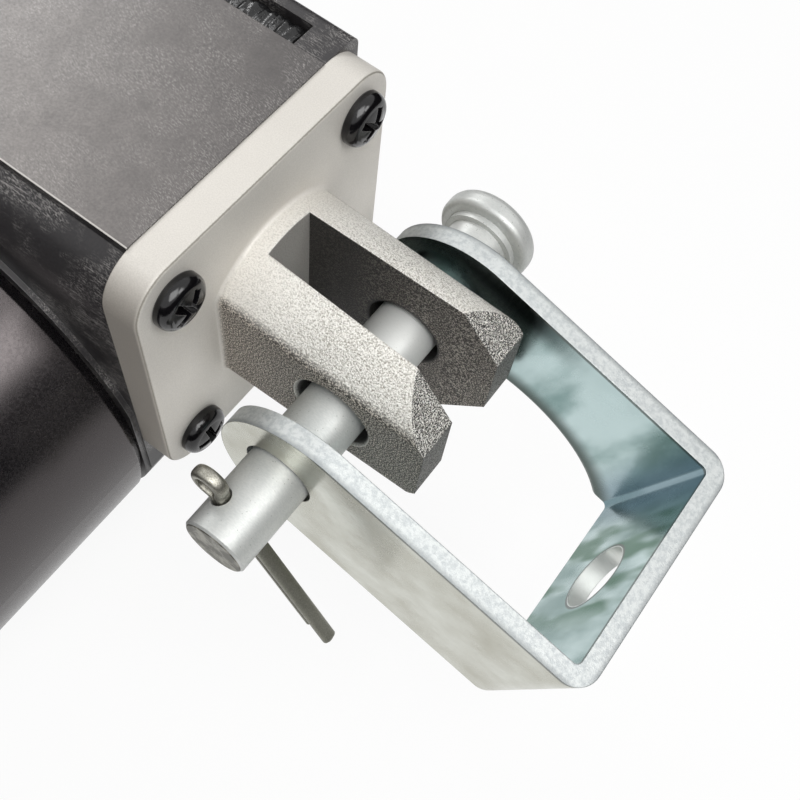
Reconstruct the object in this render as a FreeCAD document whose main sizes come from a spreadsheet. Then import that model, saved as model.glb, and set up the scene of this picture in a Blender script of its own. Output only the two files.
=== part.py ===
import FreeCAD, Part
import Sketcher
import math
import os
import re

# Electric linear actuator with a worm drive, lying along X, rod to +X.
# Origin: clevis pin axis at the middle of the rear fork. +Y: motor side. +Z: up. Millimetres.

doc = FreeCAD.newDocument("LinearActuator")
sizes = doc.addObject("Spreadsheet::Sheet", "Sizes")

SIZES = [
    # Clevis pin and cotter
    ("pin_d", 8.0, "clevis pin diameter"),
    ("pin_tail", 10.9, "pin's plain end beyond the near arm"),
    ("pin_neck_w", 6.95, "shoulder length between head and far arm"),
    ("pin_head_lip", 2.4, "head beyond the pin all round"),
    ("pin_head_t", 3.2, "pin head thickness"),
    ("pin_neck_lip", 0.2, "shoulder beyond the pin all round"),
    ("pin_edge", 0.35, "chamfer of the plain end"),
    ("pin_head_round", 1.5, "rounding of the pin head's outer rim"),
    ("pin_head_foot", 0.8, "rounding of the pin head's inner rim"),
    ("pin_collar_lip", 0.7, "collar under the pin head"),
    ("pin_collar_w", 0.9, "width of the collar under the pin head"),
    ("cotter_from_end", 4.2, "cotter hole from the pin's plain end"),
    ("cotter_d", 1.9, "cotter legs, both together"),
    ("cotter_split", 0.2, "split between the legs"),
    ("cotter_hole_clear", 0.3, "radial gap round the cotter"),
    ("cotter_tip", 23.7, "cotter tips from the pin axis"),
    ("cotter_eye_at", 6.4, "cotter eye's centre from the pin axis"),
    ("cotter_eye_d", 4.4, "cotter eye outside"),
    ("cotter_eye_hole", 2.4, "cotter eye inside"),
    ("cotter_loop_w", 1.7, "cotter eye width"),
    ("cotter_turn", 32.9, "turn of the cotter from upright, degrees"),
    # Mounting bracket
    ("strip_w", 23.5, "bracket strip width"),
    ("strip_t", 2.4, "bracket sheet thickness"),
    ("arm_far_clear", 1.4, "far arm from the fork's flat"),
    ("arm_near_clear", 7.0, "near arm from the fork's flat"),
    ("bracket_reach", 38.6, "pin axis to the base's outer face"),
    ("ear_tip", 8.0, "ear beyond the pin axis"),
    ("bend_r", 3.2, "outer bend radius"),
    ("bend_inner_r", 0.8, "inner bend radius"),
    ("ear_hole_clear", 0.45, "radial gap of the pin in the ears"),
    ("base_hole_d", 9.2, "fixing hole in the base"),
    ("bite_r", 21.2, "hollow in the far arm's lower edge"),
    ("bite_at", 17.5, "hollow's centre behind the pin"),
    ("bite_drop", 26.2, "hollow's centre below the pin"),
    ("bite_roll", 0.9, "rounded edge of the hollow on the arm's inner face"),
    ("bracket_drop", 17.6, "bracket's turn below level, degrees"),
    # Rear clevis casting
    ("pin_to_plate", 16.25, "pin axis to the plate's rear face"),
    ("plate_w", 42.0, "plate, square"),
    ("plate_t", 4.5, "plate thickness"),
    ("plate_corner", 5.5, "plate corner radius"),
    ("plate_rim", 0.45, "rounded rim of the plate"),
    ("fork_root_r", 12.6, "fork barrel radius at the plate"),
    ("fork_draft", 0.8, "barrel radius lost from plate to tip"),
    ("fork_tip", 12.4, "fork tip behind the pin axis"),
    ("fork_flats", 19.6, "width across the fork's side flats"),
    ("fork_side_r", 2.5, "rounded long edges beside the flats"),
    ("fork_foot_r", 0.5, "fillet where the fork meets the plate"),
    ("fork_end_h", 10.4, "height of the fork's end faces"),
    ("fork_bevel_run", 7.4, "length of the end bevels along the fork"),
    ("fork_bevel_slope", 1.09, "rise of the end bevels over their run"),
    ("slot_floor", 2.45, "slot's bottom in front of the plate"),
    ("slot_end_w", 7.2, "slot width at the bottom"),
    ("slot_taper", 1.7, "slot's widening to its mouth"),
    ("fork_hole_clear", 0.9, "radial gap of the pin in the fork"),
    ("fork_hole_edge", 0.5, "chamfer of the pin hole"),
    ("cut_over", 1.0, "how far cuts run past a face"),
    # Clevis screws
    ("screw_inset", 5.5, "screws in from the plate's edges"),
    ("screw_d", 4.0, "screw thread diameter"),
    ("screw_clear", 0.15, "radial gap of screws in through holes"),
    ("screw_head_d", 6.8, "pan head diameter"),
    ("screw_head_t", 2.4, "pan head height"),
    ("screw_head_edge", 1.0, "rounding of the pan head, as a bevel"),
    ("screw_socket_d", 2.6, "driver recess across"),
    ("screw_socket_t", 1.3, "driver recess depth"),
    ("screw_depth", 12.0, "thread length in the housing"),
    # Gear housing
    ("socket_depth", 18.0, "tube socket depth"),
    ("housing_shoulder_r", 8.5, "rounded long edge on the motor side"),
    ("housing_edge_r", 1.6, "small long edge radius"),
    ("housing_foot_r", 4.0, "lower long edge radius"),
    ("lid_t", 0.2, "raised flat on top"),
    ("lid_near_in", 4.5, "raised flat's edge in from the motor side"),
    ("lid_far_in", 6.2, "raised flat's edge in from the other side"),
    ("channel_w", 3.7, "cable channel width"),
    ("channel_from", 4.45, "cable channel's closed end from the plate"),
    ("channel_depth", 2.5, "cable channel depth"),
    ("chamber_clear", 1.6, "chamber round the worm wheel"),
    ("chamber_half", 13.0, "chamber's ends from the motor axis"),
    ("spindle_room_r", 10.0, "passage behind the chamber"),
    ("bulge_wall", 3.3, "worm barrel wall"),
    ("bulge_short", 1.0, "worm barrel's end inside the housing's side"),
    ("worm_room_clear", 0.8, "chamber round the worm"),
    ("bulge_end_t", 3.5, "worm barrel's end wall"),
    ("flange_t", 5.0, "motor flange thickness"),
    ("flange_clear", 0.3, "gap from the motor flange to the plate"),
    ("seal_t", 1.5, "seal groove round the tube"),
    ("seal_w", 2.0, "seal groove width"),
    # Motor
    ("motor_x", 49.0, "motor axis from the pin axis"),
    ("motor_stand", 0.7, "motor's face beyond the housing's side"),
    ("can_r", 29.2, "motor can outside"),
    ("can_wall", 1.8, "motor can wall"),
    ("can_length", 62.0, "motor can length"),
    ("can_edge", 1.5, "rounded front edge of the can, as a bevel"),
    ("magnet_t", 5.0, "magnet thickness"),
    ("magnet_from", 8.0, "magnets from the motor's face"),
    ("magnet_end_gap", 12.0, "magnets' end from the can's rear"),
    ("magnet_angle", 130.0, "magnet arc, degrees"),
    ("air_gap", 0.9, "air gap between core and magnets"),
    ("core_from", 10.0, "core from the motor's face"),
    ("core_end_gap", 14.0, "core's end from the can's rear"),
    ("slot_r", 2.6, "armature slot radius"),
    ("slot_depth", 5.0, "armature slots in from the core's surface"),
    ("slot_mouth", 1.2, "armature slot opening"),
    ("wire_clear", 0.1, "gap between wire and slot"),
    ("coil_inner_r", 8.5, "end turns inside"),
    ("coil_short", 2.1, "end turns in from the core's surface"),
    ("coil_t", 5.0, "end turn thickness"),
    ("shaft_r", 4.0, "motor shaft radius"),
    ("shaft_end_gap", 4.5, "shaft's end from the end cap's face"),
    ("commutator_r", 9.0, "commutator radius"),
    ("commutator_inset", 6.0, "commutator's start in from the can's rear"),
    ("commutator_w", 12.0, "commutator length"),
    ("segment_gap", 0.6, "gap between commutator bars"),
    ("segment_depth", 0.8, "depth of that gap"),
    ("bush_wall", 2.0, "motor bush wall"),
    ("bush_w", 6.0, "motor bush length"),
    ("run_clear", 0.05, "radial running clearance of shafts and rod"),
    ("cap_length", 18.0, "motor end cap length"),
    ("cap_wall", 2.4, "motor end cap wall"),
    ("cap_end_t", 3.0, "motor end cap's end wall"),
    ("cap_edge", 3.0, "bevelled outer edge of the end cap"),
    ("hub_wall", 2.5, "wall of the end cap's bearing hub"),
    ("bolt_inset", 2.8, "motor bolts in from the can's wall"),
    ("bolt_r", 1.9, "motor bolt radius"),
    ("bolt_clear", 0.15, "radial gap of bolts in through holes"),
    ("bolt_head_r", 3.5, "motor bolt head radius"),
    ("bolt_head_t", 2.5, "motor bolt head height"),
    ("holder_inset", 4.5, "brush holder in from the can's rear"),
    ("holder_t", 2.5, "brush holder plate thickness"),
    ("holder_hole_gap", 2.0, "brush holder round the commutator"),
    ("guide_short", 2.4, "brush guides' end in from the can's wall"),
    ("guide_wall", 1.0, "brush guide wall"),
    ("brush_w", 6.0, "carbon brush, square"),
    ("brush_share", 0.57, "brush length over the room behind the commutator"),
    ("brush_clear", 0.1, "gap around the brush and to the commutator"),
    ("spring_r", 2.2, "brush spring outside"),
    ("spring_wire", 0.5, "brush spring wall"),
    ("grommet_at", 17.0, "cable grommet from the motor axis"),
    ("grommet_r", 4.0, "cable grommet in the wall"),
    ("grommet_lip_r", 5.6, "cable grommet lips"),
    ("grommet_lip_t", 1.2, "cable grommet lip thickness"),
    ("grommet_hole_r", 2.6, "cable passage"),
    # Worm drive
    ("worm_pitch_r", 4.5, "worm pitch radius"),
    ("gear_tip", 0.9, "tooth height outside the pitch circles"),
    ("gear_root", 1.25, "tooth depth inside the pitch circles"),
    ("worm_pitch", 3.14159265, "worm axial pitch, module one"),
    ("worm_half", 9.4, "half the worm's length"),
    ("worm_crest_share", 0.223, "worm thread width over pitch at the tip"),
    ("worm_base_share", 0.637, "worm thread width over pitch at the root"),
    ("journal_r", 3.0, "shaft journal beyond the worm"),
    ("journal_w", 4.5, "journal length"),
    ("wheel_teeth", 27, "worm wheel teeth"),
    ("tooth_base_share", 0.56, "tooth width over pitch at the root"),
    ("tooth_tip_share", 0.2, "tooth width over pitch at the tip"),
    ("wheel_face", 10.0, "worm wheel face width"),
    ("hub_ring", 3.4, "worm wheel hub round the spindle"),
    ("hub_back_reach", 9.0, "wheel hub behind the motor axis"),
    ("key_w", 3.0, "wheel key, width"),
    ("key_sink", 1.4, "key seat's depth in the spindle"),
    ("key_rise", 1.2, "key above the spindle"),
    ("key_length", 10.0, "wheel key length"),
    ("clip_lip", 2.4, "retaining ring above the spindle"),
    ("clip_sink", 0.6, "retaining ring groove depth"),
    ("clip_t", 1.2, "retaining ring thickness"),
    ("clip_gap", 4.0, "retaining ring opening"),
    # Spindle and its bearings
    ("screw_share", 0.6, "lead screw over the rod's diameter"),
    ("spindle_spare", 18.0, "lead screw beyond the nut's thread at full stroke"),
    ("spindle_point", 1.6, "lead screw's front chamfer"),
    ("spindle_back_gap", 0.45, "gap from the lead screw to the plate"),
    ("journal_step", 1.0, "step down to the rear bearing"),
    ("rear_bearing_wall", 8.0, "housing wall round the rear bearing"),
    ("bearing_w", 8.0, "bearing width"),
    ("bearing_back_gap", 0.25, "gap from the rear bearing to the plate"),
    ("carrier_wall", 4.0, "bearing carrier wall"),
    ("race_t", 2.4, "bearing race thickness"),
    ("ball_r", 2.2, "bearing ball radius"),
    ("ball_clear", 0.06, "gap between balls and races"),
    ("balls", 8, "balls in each bearing"),
    ("collar_lip", 2.6, "spindle collar over the lead screw"),
    ("hub_front_reach", 8.0, "wheel hub in front of the motor axis"),
    ("carrier_lip", 1.6, "bearing carrier's lip over the race"),
    ("carrier_lip_t", 1.0, "bearing carrier's lip thickness"),
    # Tube, rod and nut
    ("socket_wall", 3.0, "housing wall round the tube"),
    ("tube_wall", 2.5, "outer tube wall"),
    ("guide_spare", 32.0, "tube beyond the nut at full stroke"),
    ("cap_t", 8.0, "front cap outside the tube"),
    ("spigot_w", 10.0, "front cap's spigot length"),
    ("cap_front_edge", 1.5, "front cap's bevel"),
    ("rod_bush_wall", 2.0, "rod bush wall"),
    ("rod_bush_w", 12.0, "rod bush length"),
    ("wiper_t", 3.0, "rod wiper thickness"),
    ("wiper_w", 4.5, "rod wiper length"),
    ("wiper_lip", 1.0, "wiper lip in front of the cap"),
    ("wiper_lip_t", 1.2, "wiper lip thickness"),
    ("land_clear", 0.4, "gap from the cap's land to the rod"),
    ("rod_over", 1.0, "rod radius over half the tube's"),
    ("rod_bore_share", 0.7, "rod bore over the rod's diameter"),
    ("rod_out", 6.0, "rod beyond the front cap at rest"),
    ("nut_gap", 5.0, "nut from the front bearing at rest"),
    ("nut_length", 24.0, "drive nut length"),
    ("nut_thread", 12.0, "threaded part of the nut"),
    ("nut_clear", 0.3, "radial gap of the nut in the tube and on the screw"),
    ("nut_edge", 1.2, "nut bevel"),
    ("track_w", 11.0, "nut's slot for the sensor strip"),
    ("track_wall", 0.8, "nut over the rod under the sensor slot"),
    ("magnet_r", 2.0, "trip magnet radius"),
    ("magnet_depth", 3.0, "trip magnet length"),
    ("magnet_at", 6.0, "trip magnet from the nut's rear face"),
    ("strip_board_w", 8.6, "sensor board width"),
    ("strip_board_t", 1.0, "sensor board thickness"),
    ("strip_board_gap", 0.7, "sensor board under the tube's top"),
    ("strip_board_margin", 8.0, "sensor board beyond the sensors"),
    ("sensor_l", 8.0, "sensor length"),
    ("sensor_w", 6.0, "sensor width"),
    ("sensor_t", 2.0, "sensor height"),
    ("stroke", 100.0, "rod travel"),
    # Rod end
    ("eye_reach", 11.0, "eye's centre from the rod end's shoulder"),
    ("eye_t", 12.0, "eye thickness"),
    ("eye_hole_d", 10.2, "eye hole diameter"),
    ("eye_edge", 0.6, "eye's chamfers"),
    ("shank_w", 18.0, "rod end's shank in the rod"),
    ("shoulder_w", 5.0, "rod end's round shoulder"),
    ("roll_pin_r", 1.5, "roll pin radius"),
    ("roll_pin_from_end", 2.5, "roll pin from the rod's front end"),
    ("roll_pin_short", 0.3, "roll pin below the rod's surface at each end"),
]

for row, (alias, number, words) in enumerate(SIZES, start=1):
    sizes.set("A%d" % row, words)
    sizes.set("B%d" % row, str(number))
    sizes.setAlias("B%d" % row, alias)
doc.recompute()

ALIASES = {alias for alias, number, words in SIZES}

# Values that follow from the sheet, in the sheet's own words.
DERIVED = {
    "rod_r": "tube_r / 2 + rod_over",
    "rod_bore_r": "rod_bore_share * rod_r",
    "spindle_r": "screw_share * rod_r",
    "spindle_point_r": "spindle_r - spindle_point",
    "rear_journal_r": "spindle_r - journal_step",
    "rear_bearing_r": "plate_w / 2 - rear_bearing_wall",
    "front_bearing_r": "tube_r - carrier_wall",
    "carrier_lip_r": "front_bearing_r - carrier_lip",
    "collar_r": "spindle_r + collar_lip",
    "key_floor": "spindle_r - key_sink",
    "key_top": "spindle_r + key_rise",
    "clip_r": "spindle_r + clip_lip",
    "clip_seat_r": "spindle_r - clip_sink",
    "wheel_hub_r": "spindle_r + hub_ring",
    "eye_r": "rod_r",
    "brush_length": "brush_share * (guide_end_r - guide_wall - commutator_r - brush_clear)",
    "pin_near_end": "arm_near_out + pin_tail",
    "pin_head_reach": "arm_far_out + pin_neck_w",
    "pin_head_d": "pin_d + 2 * pin_head_lip",
    "pin_neck_d": "pin_d + 2 * pin_neck_lip",
    "cotter_y": "pin_near_end - cotter_from_end",
    "cotter_hole_d": "cotter_d + 2 * cotter_hole_clear",
    "arm_near_in": "fork_flats / 2 + arm_near_clear",
    "arm_far_in": "fork_flats / 2 + arm_far_clear",
    "bracket_shift": "(arm_near_in - arm_far_in) / 2",
    "ear_hole_d": "pin_d + 2 * ear_hole_clear",
    "fork_tip_r": "fork_root_r - fork_draft",
    "slot_end": "pin_to_plate - slot_floor",
    "slot_mouth_w": "slot_end_w + slot_taper",
    "fork_hole_d": "pin_d + 2 * fork_hole_clear",
    "screw_square": "plate_w - 2 * screw_inset",
    "housing_front": "socket_back + socket_depth",
    "lid_near": "plate_w / 2 - lid_near_in",
    "lid_far": "plate_w / 2 - lid_far_in",
    "channel_far": "lid_far + channel_w",
    "channel_start": "housing_rear + channel_from",
    "chamber_r": "wheel_tip_r + chamber_clear",
    "chamber_back": "motor_x - chamber_half",
    "socket_back": "motor_x + chamber_half",
    "bulge_r": "worm_room_r + bulge_wall",
    "bulge_far": "plate_w / 2 - bulge_short",
    "worm_room_r": "worm_tip_r + worm_room_clear",
    "worm_room_far": "bulge_far - bulge_end_t",
    "seal_r": "tube_r + seal_t",
    "motor_drop": "wheel_pitch_r + worm_pitch_r",
    "motor_face": "plate_w / 2 + motor_stand",
    "magnet_length": "can_length - magnet_from - magnet_end_gap",
    "core_r": "can_bore_r - magnet_t - air_gap",
    "core_length": "can_length - core_from - core_end_gap",
    "slot_pitch_r": "core_r - slot_depth",
    "coil_outer_r": "core_r - coil_short",
    "shaft_tail": "cap_end - shaft_end_gap",
    "commutator_from": "can_length - commutator_inset",
    "holder_from": "can_length - holder_inset",
    "bush_r": "shaft_r + bush_wall",
    "hub_r": "bush_r + hub_wall",
    "bolt_circle_r": "can_bore_r - bolt_inset",
    "holder_hole_r": "commutator_r + holder_hole_gap",
    "guide_end_r": "can_bore_r - guide_short",
    "worm_root_r": "worm_pitch_r - gear_root",
    "worm_tip_r": "worm_pitch_r + gear_tip",
    "worm_crest_w": "worm_pitch * worm_crest_share",
    "worm_base_w": "worm_pitch * worm_base_share",
    "wheel_pitch_r": "wheel_teeth * worm_pitch / (2 * pi)",
    "wheel_root_r": "wheel_pitch_r - gear_root",
    "wheel_tip_r": "wheel_pitch_r + gear_tip",
    "tooth_lean": "worm_pitch / (2 * pi * worm_pitch_r * wheel_pitch_r)",
    "wheel_hub_back": "motor_x - hub_back_reach",
    "collar_back": "motor_x + hub_front_reach",
    "spindle_end": "nut_step + stroke + spindle_spare",
    "tube_r": "plate_w / 2 - socket_wall",
    "tube_bore_r": "tube_r - tube_wall",
    "tube_end": "nut_front + stroke + guide_spare",
    "cap_front": "tube_end + cap_t",
    "rod_bush_r": "rod_r + rod_bush_wall",
    "wiper_r": "rod_r + wiper_t",
    "rod_end_x": "cap_front + rod_out",
    "nut_back": "front_bearing_end + nut_gap",
    "track_floor": "rod_r + track_wall",
    "strip_board_top": "tube_bore_r - strip_board_gap",
    "eye_x": "shoulder_end + eye_reach",
    "housing_rear": "pin_to_plate + plate_t",
    "motor_z": "0 - motor_drop",
    "arm_near_out": "arm_near_in + strip_t",
    "arm_far_out": "arm_far_in + strip_t",
    "rear_bearing_x": "housing_rear + bearing_back_gap",
    "rear_bearing_end": "rear_bearing_x + bearing_w",
    "front_bearing_x": "socket_back + carrier_lip_t",
    "front_bearing_end": "front_bearing_x + bearing_w",
    "wheel_back": "motor_x - wheel_face / 2",
    "clip_x": "wheel_hub_back - clip_t",
    "can_bore_r": "can_r - can_wall",
    "cap_end": "can_length + cap_length",
    "worm_bush_from": "0 - worm_room_far - motor_face",
    "spigot_back": "tube_end - spigot_w",
    "nut_front": "nut_back + nut_length",
    "nut_step": "nut_back + nut_thread",
    "nut_r": "tube_bore_r - nut_clear",
    "sensor_z": "strip_board_top - strip_board_t - sensor_t",
    "magnet_x": "nut_back + magnet_at",
    "shoulder_end": "rod_end_x + shoulder_w",
    "guide_half": "brush_w / 2 + brush_clear + guide_wall",
    "brush_axial": "holder_from + holder_t + guide_wall + brush_clear + brush_w / 2",
    "roll_pin_x": "rod_end_x - roll_pin_from_end",
}


def tied(text):
    """Spell a formula out for the sheet: derived names are opened, sheet names get their prefix."""
    def spell(found):
        word = found.group(0)
        if word in DERIVED:
            return "(" + tied(DERIVED[word]) + ")"
        if word in ALIASES:
            return "Sizes." + word
        return word
    return re.sub(r"[a-z][a-z0-9_]*", spell, text)


def value(text):
    """The number that a formula gives now."""
    return float(sizes.evalExpression(tied(text)))


def bind(thing, **formulas):
    """Tie properties of an object to formulas; a double underscore stands for a dot."""
    for name, text in formulas.items():
        thing.setExpression(name.replace("__", "."), tied(text))


def place(thing, x="0", y="0", z="0"):
    """Tie an object's position to formulas."""
    thing.setExpression(".Placement.Base.x", tied(x))
    thing.setExpression(".Placement.Base.y", tied(y))
    thing.setExpression(".Placement.Base.z", tied(z))


def plane_of(body, role):
    """One of a body's own origin planes."""
    return next(item for item in body.Origin.OriginFeatures if item.Role == role)


def new_sketch(body, role, offset):
    """An empty sketch on an origin plane, moved along its normal by a formula."""
    sketch = body.newObject("Sketcher::SketchObject", body.Name + "_sketch")
    sketch.AttachmentSupport = [(plane_of(body, role), "")]
    sketch.MapMode = "FlatFace"
    sketch.setExpression(".AttachmentOffset.Base.z", tied(offset))
    return sketch


def outline(body, role, loops, offset="0"):
    """A sketch of closed polygons whose corners are tied to formulas."""
    sketch = new_sketch(body, role, offset)
    for points in loops:
        first = sketch.GeometryCount
        ties = sketch.ConstraintCount
        count = len(points)
        spots = [FreeCAD.Vector(value(across), value(up), 0) for across, up in points]
        sides = [Part.LineSegment(spots[i], spots[(i + 1) % count]) for i in range(count)]
        sketch.addGeometry(sides, False)
        joins = [
            Sketcher.Constraint("Coincident", first + i, 2, first + (i + 1) % count, 1)
            for i in range(count)
        ]
        for i, spot in enumerate(spots):
            joins.append(Sketcher.Constraint("DistanceX", -1, 1, first + i, 1, spot.x))
            joins.append(Sketcher.Constraint("DistanceY", -1, 1, first + i, 1, spot.y))
        sketch.addConstraint(joins)
        for i, (across, up) in enumerate(points):
            sketch.setExpression("Constraints[%d]" % (ties + count + 2 * i), tied(across))
            sketch.setExpression("Constraints[%d]" % (ties + count + 2 * i + 1), tied(up))
    return sketch


def circles(body, role, rounds, offset="0"):
    """A sketch of circles, each with its centre and radius tied to formulas."""
    sketch = new_sketch(body, role, offset)
    for i, (across, up, radius) in enumerate(rounds):
        centre = FreeCAD.Vector(value(across), value(up), 0)
        sketch.addGeometry(Part.Circle(centre, FreeCAD.Vector(0, 0, 1), value(radius)), False)
        sketch.addConstraint([
            Sketcher.Constraint("DistanceX", -1, 1, i, 3, centre.x),
            Sketcher.Constraint("DistanceY", -1, 1, i, 3, centre.y),
            Sketcher.Constraint("Radius", i, value(radius)),
        ])
        for k, text in enumerate((across, up, radius)):
            sketch.setExpression("Constraints[%d]" % (3 * i + k), tied(text))
    return sketch


def feature(body, kind, sketch, length, backwards=False):
    """A pad or pocket of a sketch, its length tied to a formula."""
    made = body.newObject("PartDesign::" + kind, body.Name + "_" + kind.lower())
    made.Profile = sketch
    made.Type = "Length"
    made.setExpression("Length", tied(length))
    made.Reversed = backwards
    body.Tip = made
    doc.recompute()
    return made


def turned(body, points, kind="Revolution"):
    """A turned form: a profile of (along, radius) corners swept round the body's X axis."""
    sketch = outline(body, "XY_Plane", [points])
    made = body.newObject("PartDesign::" + kind, body.Name + "_turning")
    made.Profile = sketch
    made.ReferenceAxis = (sketch, ["H_Axis"])
    made.Angle = 360
    body.Tip = made
    doc.recompute()
    return made


def edges(made, wanted):
    """Names of a feature's edges whose middle point and edge pass a test."""
    names = []
    for i, edge in enumerate(made.Shape.Edges, start=1):
        middle = edge.valueAt((edge.FirstParameter + edge.LastParameter) / 2)
        if wanted(edge, middle):
            names.append("Edge%d" % i)
    return names


def eased(body, kind, wanted, amount):
    """Fillet or chamfer the chosen edges of the body so far."""
    base = body.Tip
    made = body.newObject("PartDesign::" + kind, body.Name + "_" + kind.lower())
    made.Base = (base, edges(base, wanted))
    made.setExpression("Radius" if kind == "Fillet" else "Size", tied(amount))
    body.Tip = made
    doc.recompute()
    return made


def near(first, second):
    """Whether two lengths agree to a few hundredths of a millimetre."""
    return abs(first - second) < 0.03


def straight_along(edge, axis):
    """Whether an edge is a straight line along an axis."""
    if edge.Curve.TypeId != "Part::GeomLine":
        return False
    return near(abs(edge.Curve.Direction.dot(axis)), 1)


ALONG_X = FreeCAD.Vector(1, 0, 0)
ALONG_Y = FreeCAD.Vector(0, 1, 0)
ALONG_Z = FreeCAD.Vector(0, 0, 1)
X_TO_Y = FreeCAD.Rotation(ALONG_Z, 90)


def new_body(label):
    """An empty body for one piece."""
    return doc.addObject("PartDesign::Body", label)


def on_motor_axis(thing):
    """Lay a piece that is made along X on the motor's axis, from the motor's face."""
    thing.Placement = FreeCAD.Placement(FreeCAD.Vector(), X_TO_Y)
    place(thing, "motor_x", "motor_face", "motor_z")
    return thing


def spun(label, points):
    """A whole piece that is only turned."""
    body = new_body(label)
    turned(body, points)
    return body


def ring(label, start, length, inner, outer):
    """A plain ring or sleeve along X."""
    end = "(%s) + (%s)" % (start, length)
    return spun(label, [(start, inner), (start, outer), (end, outer), (end, inner)])


def box(name, start, span):
    """A block between tied corners."""
    made = doc.addObject("Part::Box", name)
    bind(made, Length=span[0], Width=span[1], Height=span[2])
    place(made, *start)
    return made


def rod(name, radius, length, rotation, start):
    """A round bar from a tied point along the turned Z axis."""
    made = doc.addObject("Part::Cylinder", name)
    bind(made, Radius=radius, Height=length)
    made.Placement = FreeCAD.Placement(FreeCAD.Vector(), rotation)
    place(made, *start)
    return made


def cut(label, base, tools):
    """A piece less its tools."""
    for i, tool in enumerate(tools):
        made = doc.addObject("Part::Cut", label if i == len(tools) - 1 else label + "_step")
        made.Base = base
        made.Tool = tool
        base = made
    return base


def fused(label, pieces):
    """One solid out of touching pieces."""
    made = doc.addObject("Part::MultiFuse", label)
    made.Shapes = pieces
    made.Refine = True
    return made


def group(label, pieces):
    """Equal pieces that share one name."""
    made = doc.addObject("Part::Compound", label)
    made.Links = pieces
    return made


Z_TO_X = FreeCAD.Rotation(ALONG_Y, 90)
Z_TO_Y = FreeCAD.Rotation(ALONG_X, -90)

# Rear clevis casting
clevis = new_body("rear_clevis")
half_plate = "plate_w / 2"
minus_half_plate = "0 - plate_w / 2"
square = [
    (minus_half_plate, minus_half_plate),
    (half_plate, minus_half_plate),
    (half_plate, half_plate),
    (minus_half_plate, half_plate),
]
feature(clevis, "Pad", outline(clevis, "YZ_Plane", [square], "pin_to_plate"), "plate_t")
eased(clevis, "Fillet", lambda edge, mid: straight_along(edge, ALONG_X), "plate_corner")
eased(clevis, "Fillet", lambda edge, mid: near(mid.x, value("pin_to_plate")), "plate_rim")
turned(clevis, [
    ("0 - fork_tip", "0"),
    ("0 - fork_tip", "fork_tip_r"),
    ("pin_to_plate", "fork_root_r"),
    ("pin_to_plate + plate_t / 2", "fork_root_r"),
    ("pin_to_plate + plate_t / 2", "0"),
])
fork_over = "fork_root_r + cut_over"
fork_back = "0 - fork_tip - cut_over"
flat_near = [
    (fork_back, "fork_flats / 2"),
    ("pin_to_plate", "fork_flats / 2"),
    ("pin_to_plate", fork_over),
    (fork_back, fork_over),
]
flat_far = [(along, "0 - (%s)" % across) for along, across in flat_near]
side_cuts = outline(clevis, "XY_Plane", [flat_near, flat_far], fork_over)
feature(clevis, "Pocket", side_cuts, "2 * (%s)" % fork_over)
eased(clevis, "Fillet", lambda edge, mid: (
    near(abs(mid.y), value("fork_flats / 2"))
    and value("0 - fork_tip / 2") < mid.x < value("slot_end")
), "fork_side_r")
eased(clevis, "Fillet", lambda edge, mid: (
    near(mid.x, value("pin_to_plate")) and math.hypot(mid.y, mid.z) < value("fork_root_r + cut_over / 2")
), "fork_foot_r")
mouth_over = "slot_mouth_w / 2 + (slot_mouth_w - slot_end_w) / 2 * cut_over / (slot_end + fork_tip)"
slot = [
    (fork_back, "0 - (%s)" % mouth_over),
    ("slot_end", "0 - slot_end_w / 2"),
    ("slot_end", "slot_end_w / 2"),
    (fork_back, mouth_over),
]
feature(clevis, "Pocket", outline(clevis, "XY_Plane", [slot], fork_over), "2 * (%s)" % fork_over)
bevel_top = "fork_end_h / 2 + fork_bevel_run * fork_bevel_slope"
bevel_upper = [
    (fork_back, "fork_end_h / 2 - cut_over * fork_bevel_slope"),
    ("fork_bevel_run - fork_tip", bevel_top),
    (fork_back, bevel_top),
]
bevel_lower = [(along, "0 - (%s)" % up) for along, up in bevel_upper]
bevels = outline(clevis, "XZ_Plane", [bevel_upper, bevel_lower], "0 - (%s)" % fork_over)
feature(clevis, "Pocket", bevels, "2 * (%s)" % fork_over, True)
pin_hole = circles(clevis, "XZ_Plane", [("0", "0", "fork_hole_d / 2")], "0 - (%s)" % fork_over)
feature(clevis, "Pocket", pin_hole, "2 * (%s)" % fork_over, True)
screw_spots = [
    ("screw_square / 2", "screw_square / 2"),
    ("0 - screw_square / 2", "screw_square / 2"),
    ("0 - screw_square / 2", "0 - screw_square / 2"),
    ("screw_square / 2", "0 - screw_square / 2"),
]
plate_holes = [(across, up, "screw_d / 2 + screw_clear") for across, up in screw_spots]
feature(clevis, "Pocket", circles(clevis, "YZ_Plane", plate_holes, "housing_rear"), "plate_t")
eased(clevis, "Chamfer", lambda edge, mid: (
    edge.Curve.TypeId == "Part::GeomCircle"
    and near(edge.Curve.Radius, value("fork_hole_d / 2"))
    and near(abs(mid.y), value("fork_flats / 2"))
), "fork_hole_edge")

# Screws that hold the clevis to the housing
screws = []
for across, up in screw_spots:
    screw = spun("clevis_screw", [
        ("pin_to_plate - screw_head_t + screw_socket_t", "0"),
        ("pin_to_plate - screw_head_t + screw_socket_t", "screw_socket_d / 2"),
        ("pin_to_plate - screw_head_t", "screw_socket_d / 2"),
        ("pin_to_plate - screw_head_t", "screw_head_d / 2 - screw_head_edge"),
        ("pin_to_plate - screw_head_t + screw_head_edge", "screw_head_d / 2"),
        ("pin_to_plate", "screw_head_d / 2"),
        ("pin_to_plate", "screw_d / 2"),
        ("housing_rear + screw_depth", "screw_d / 2"),
        ("housing_rear + screw_depth", "0"),
    ])
    place(screw, "0", across, up)
    screws.append(screw)
group("clevis_screws", screws)

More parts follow.
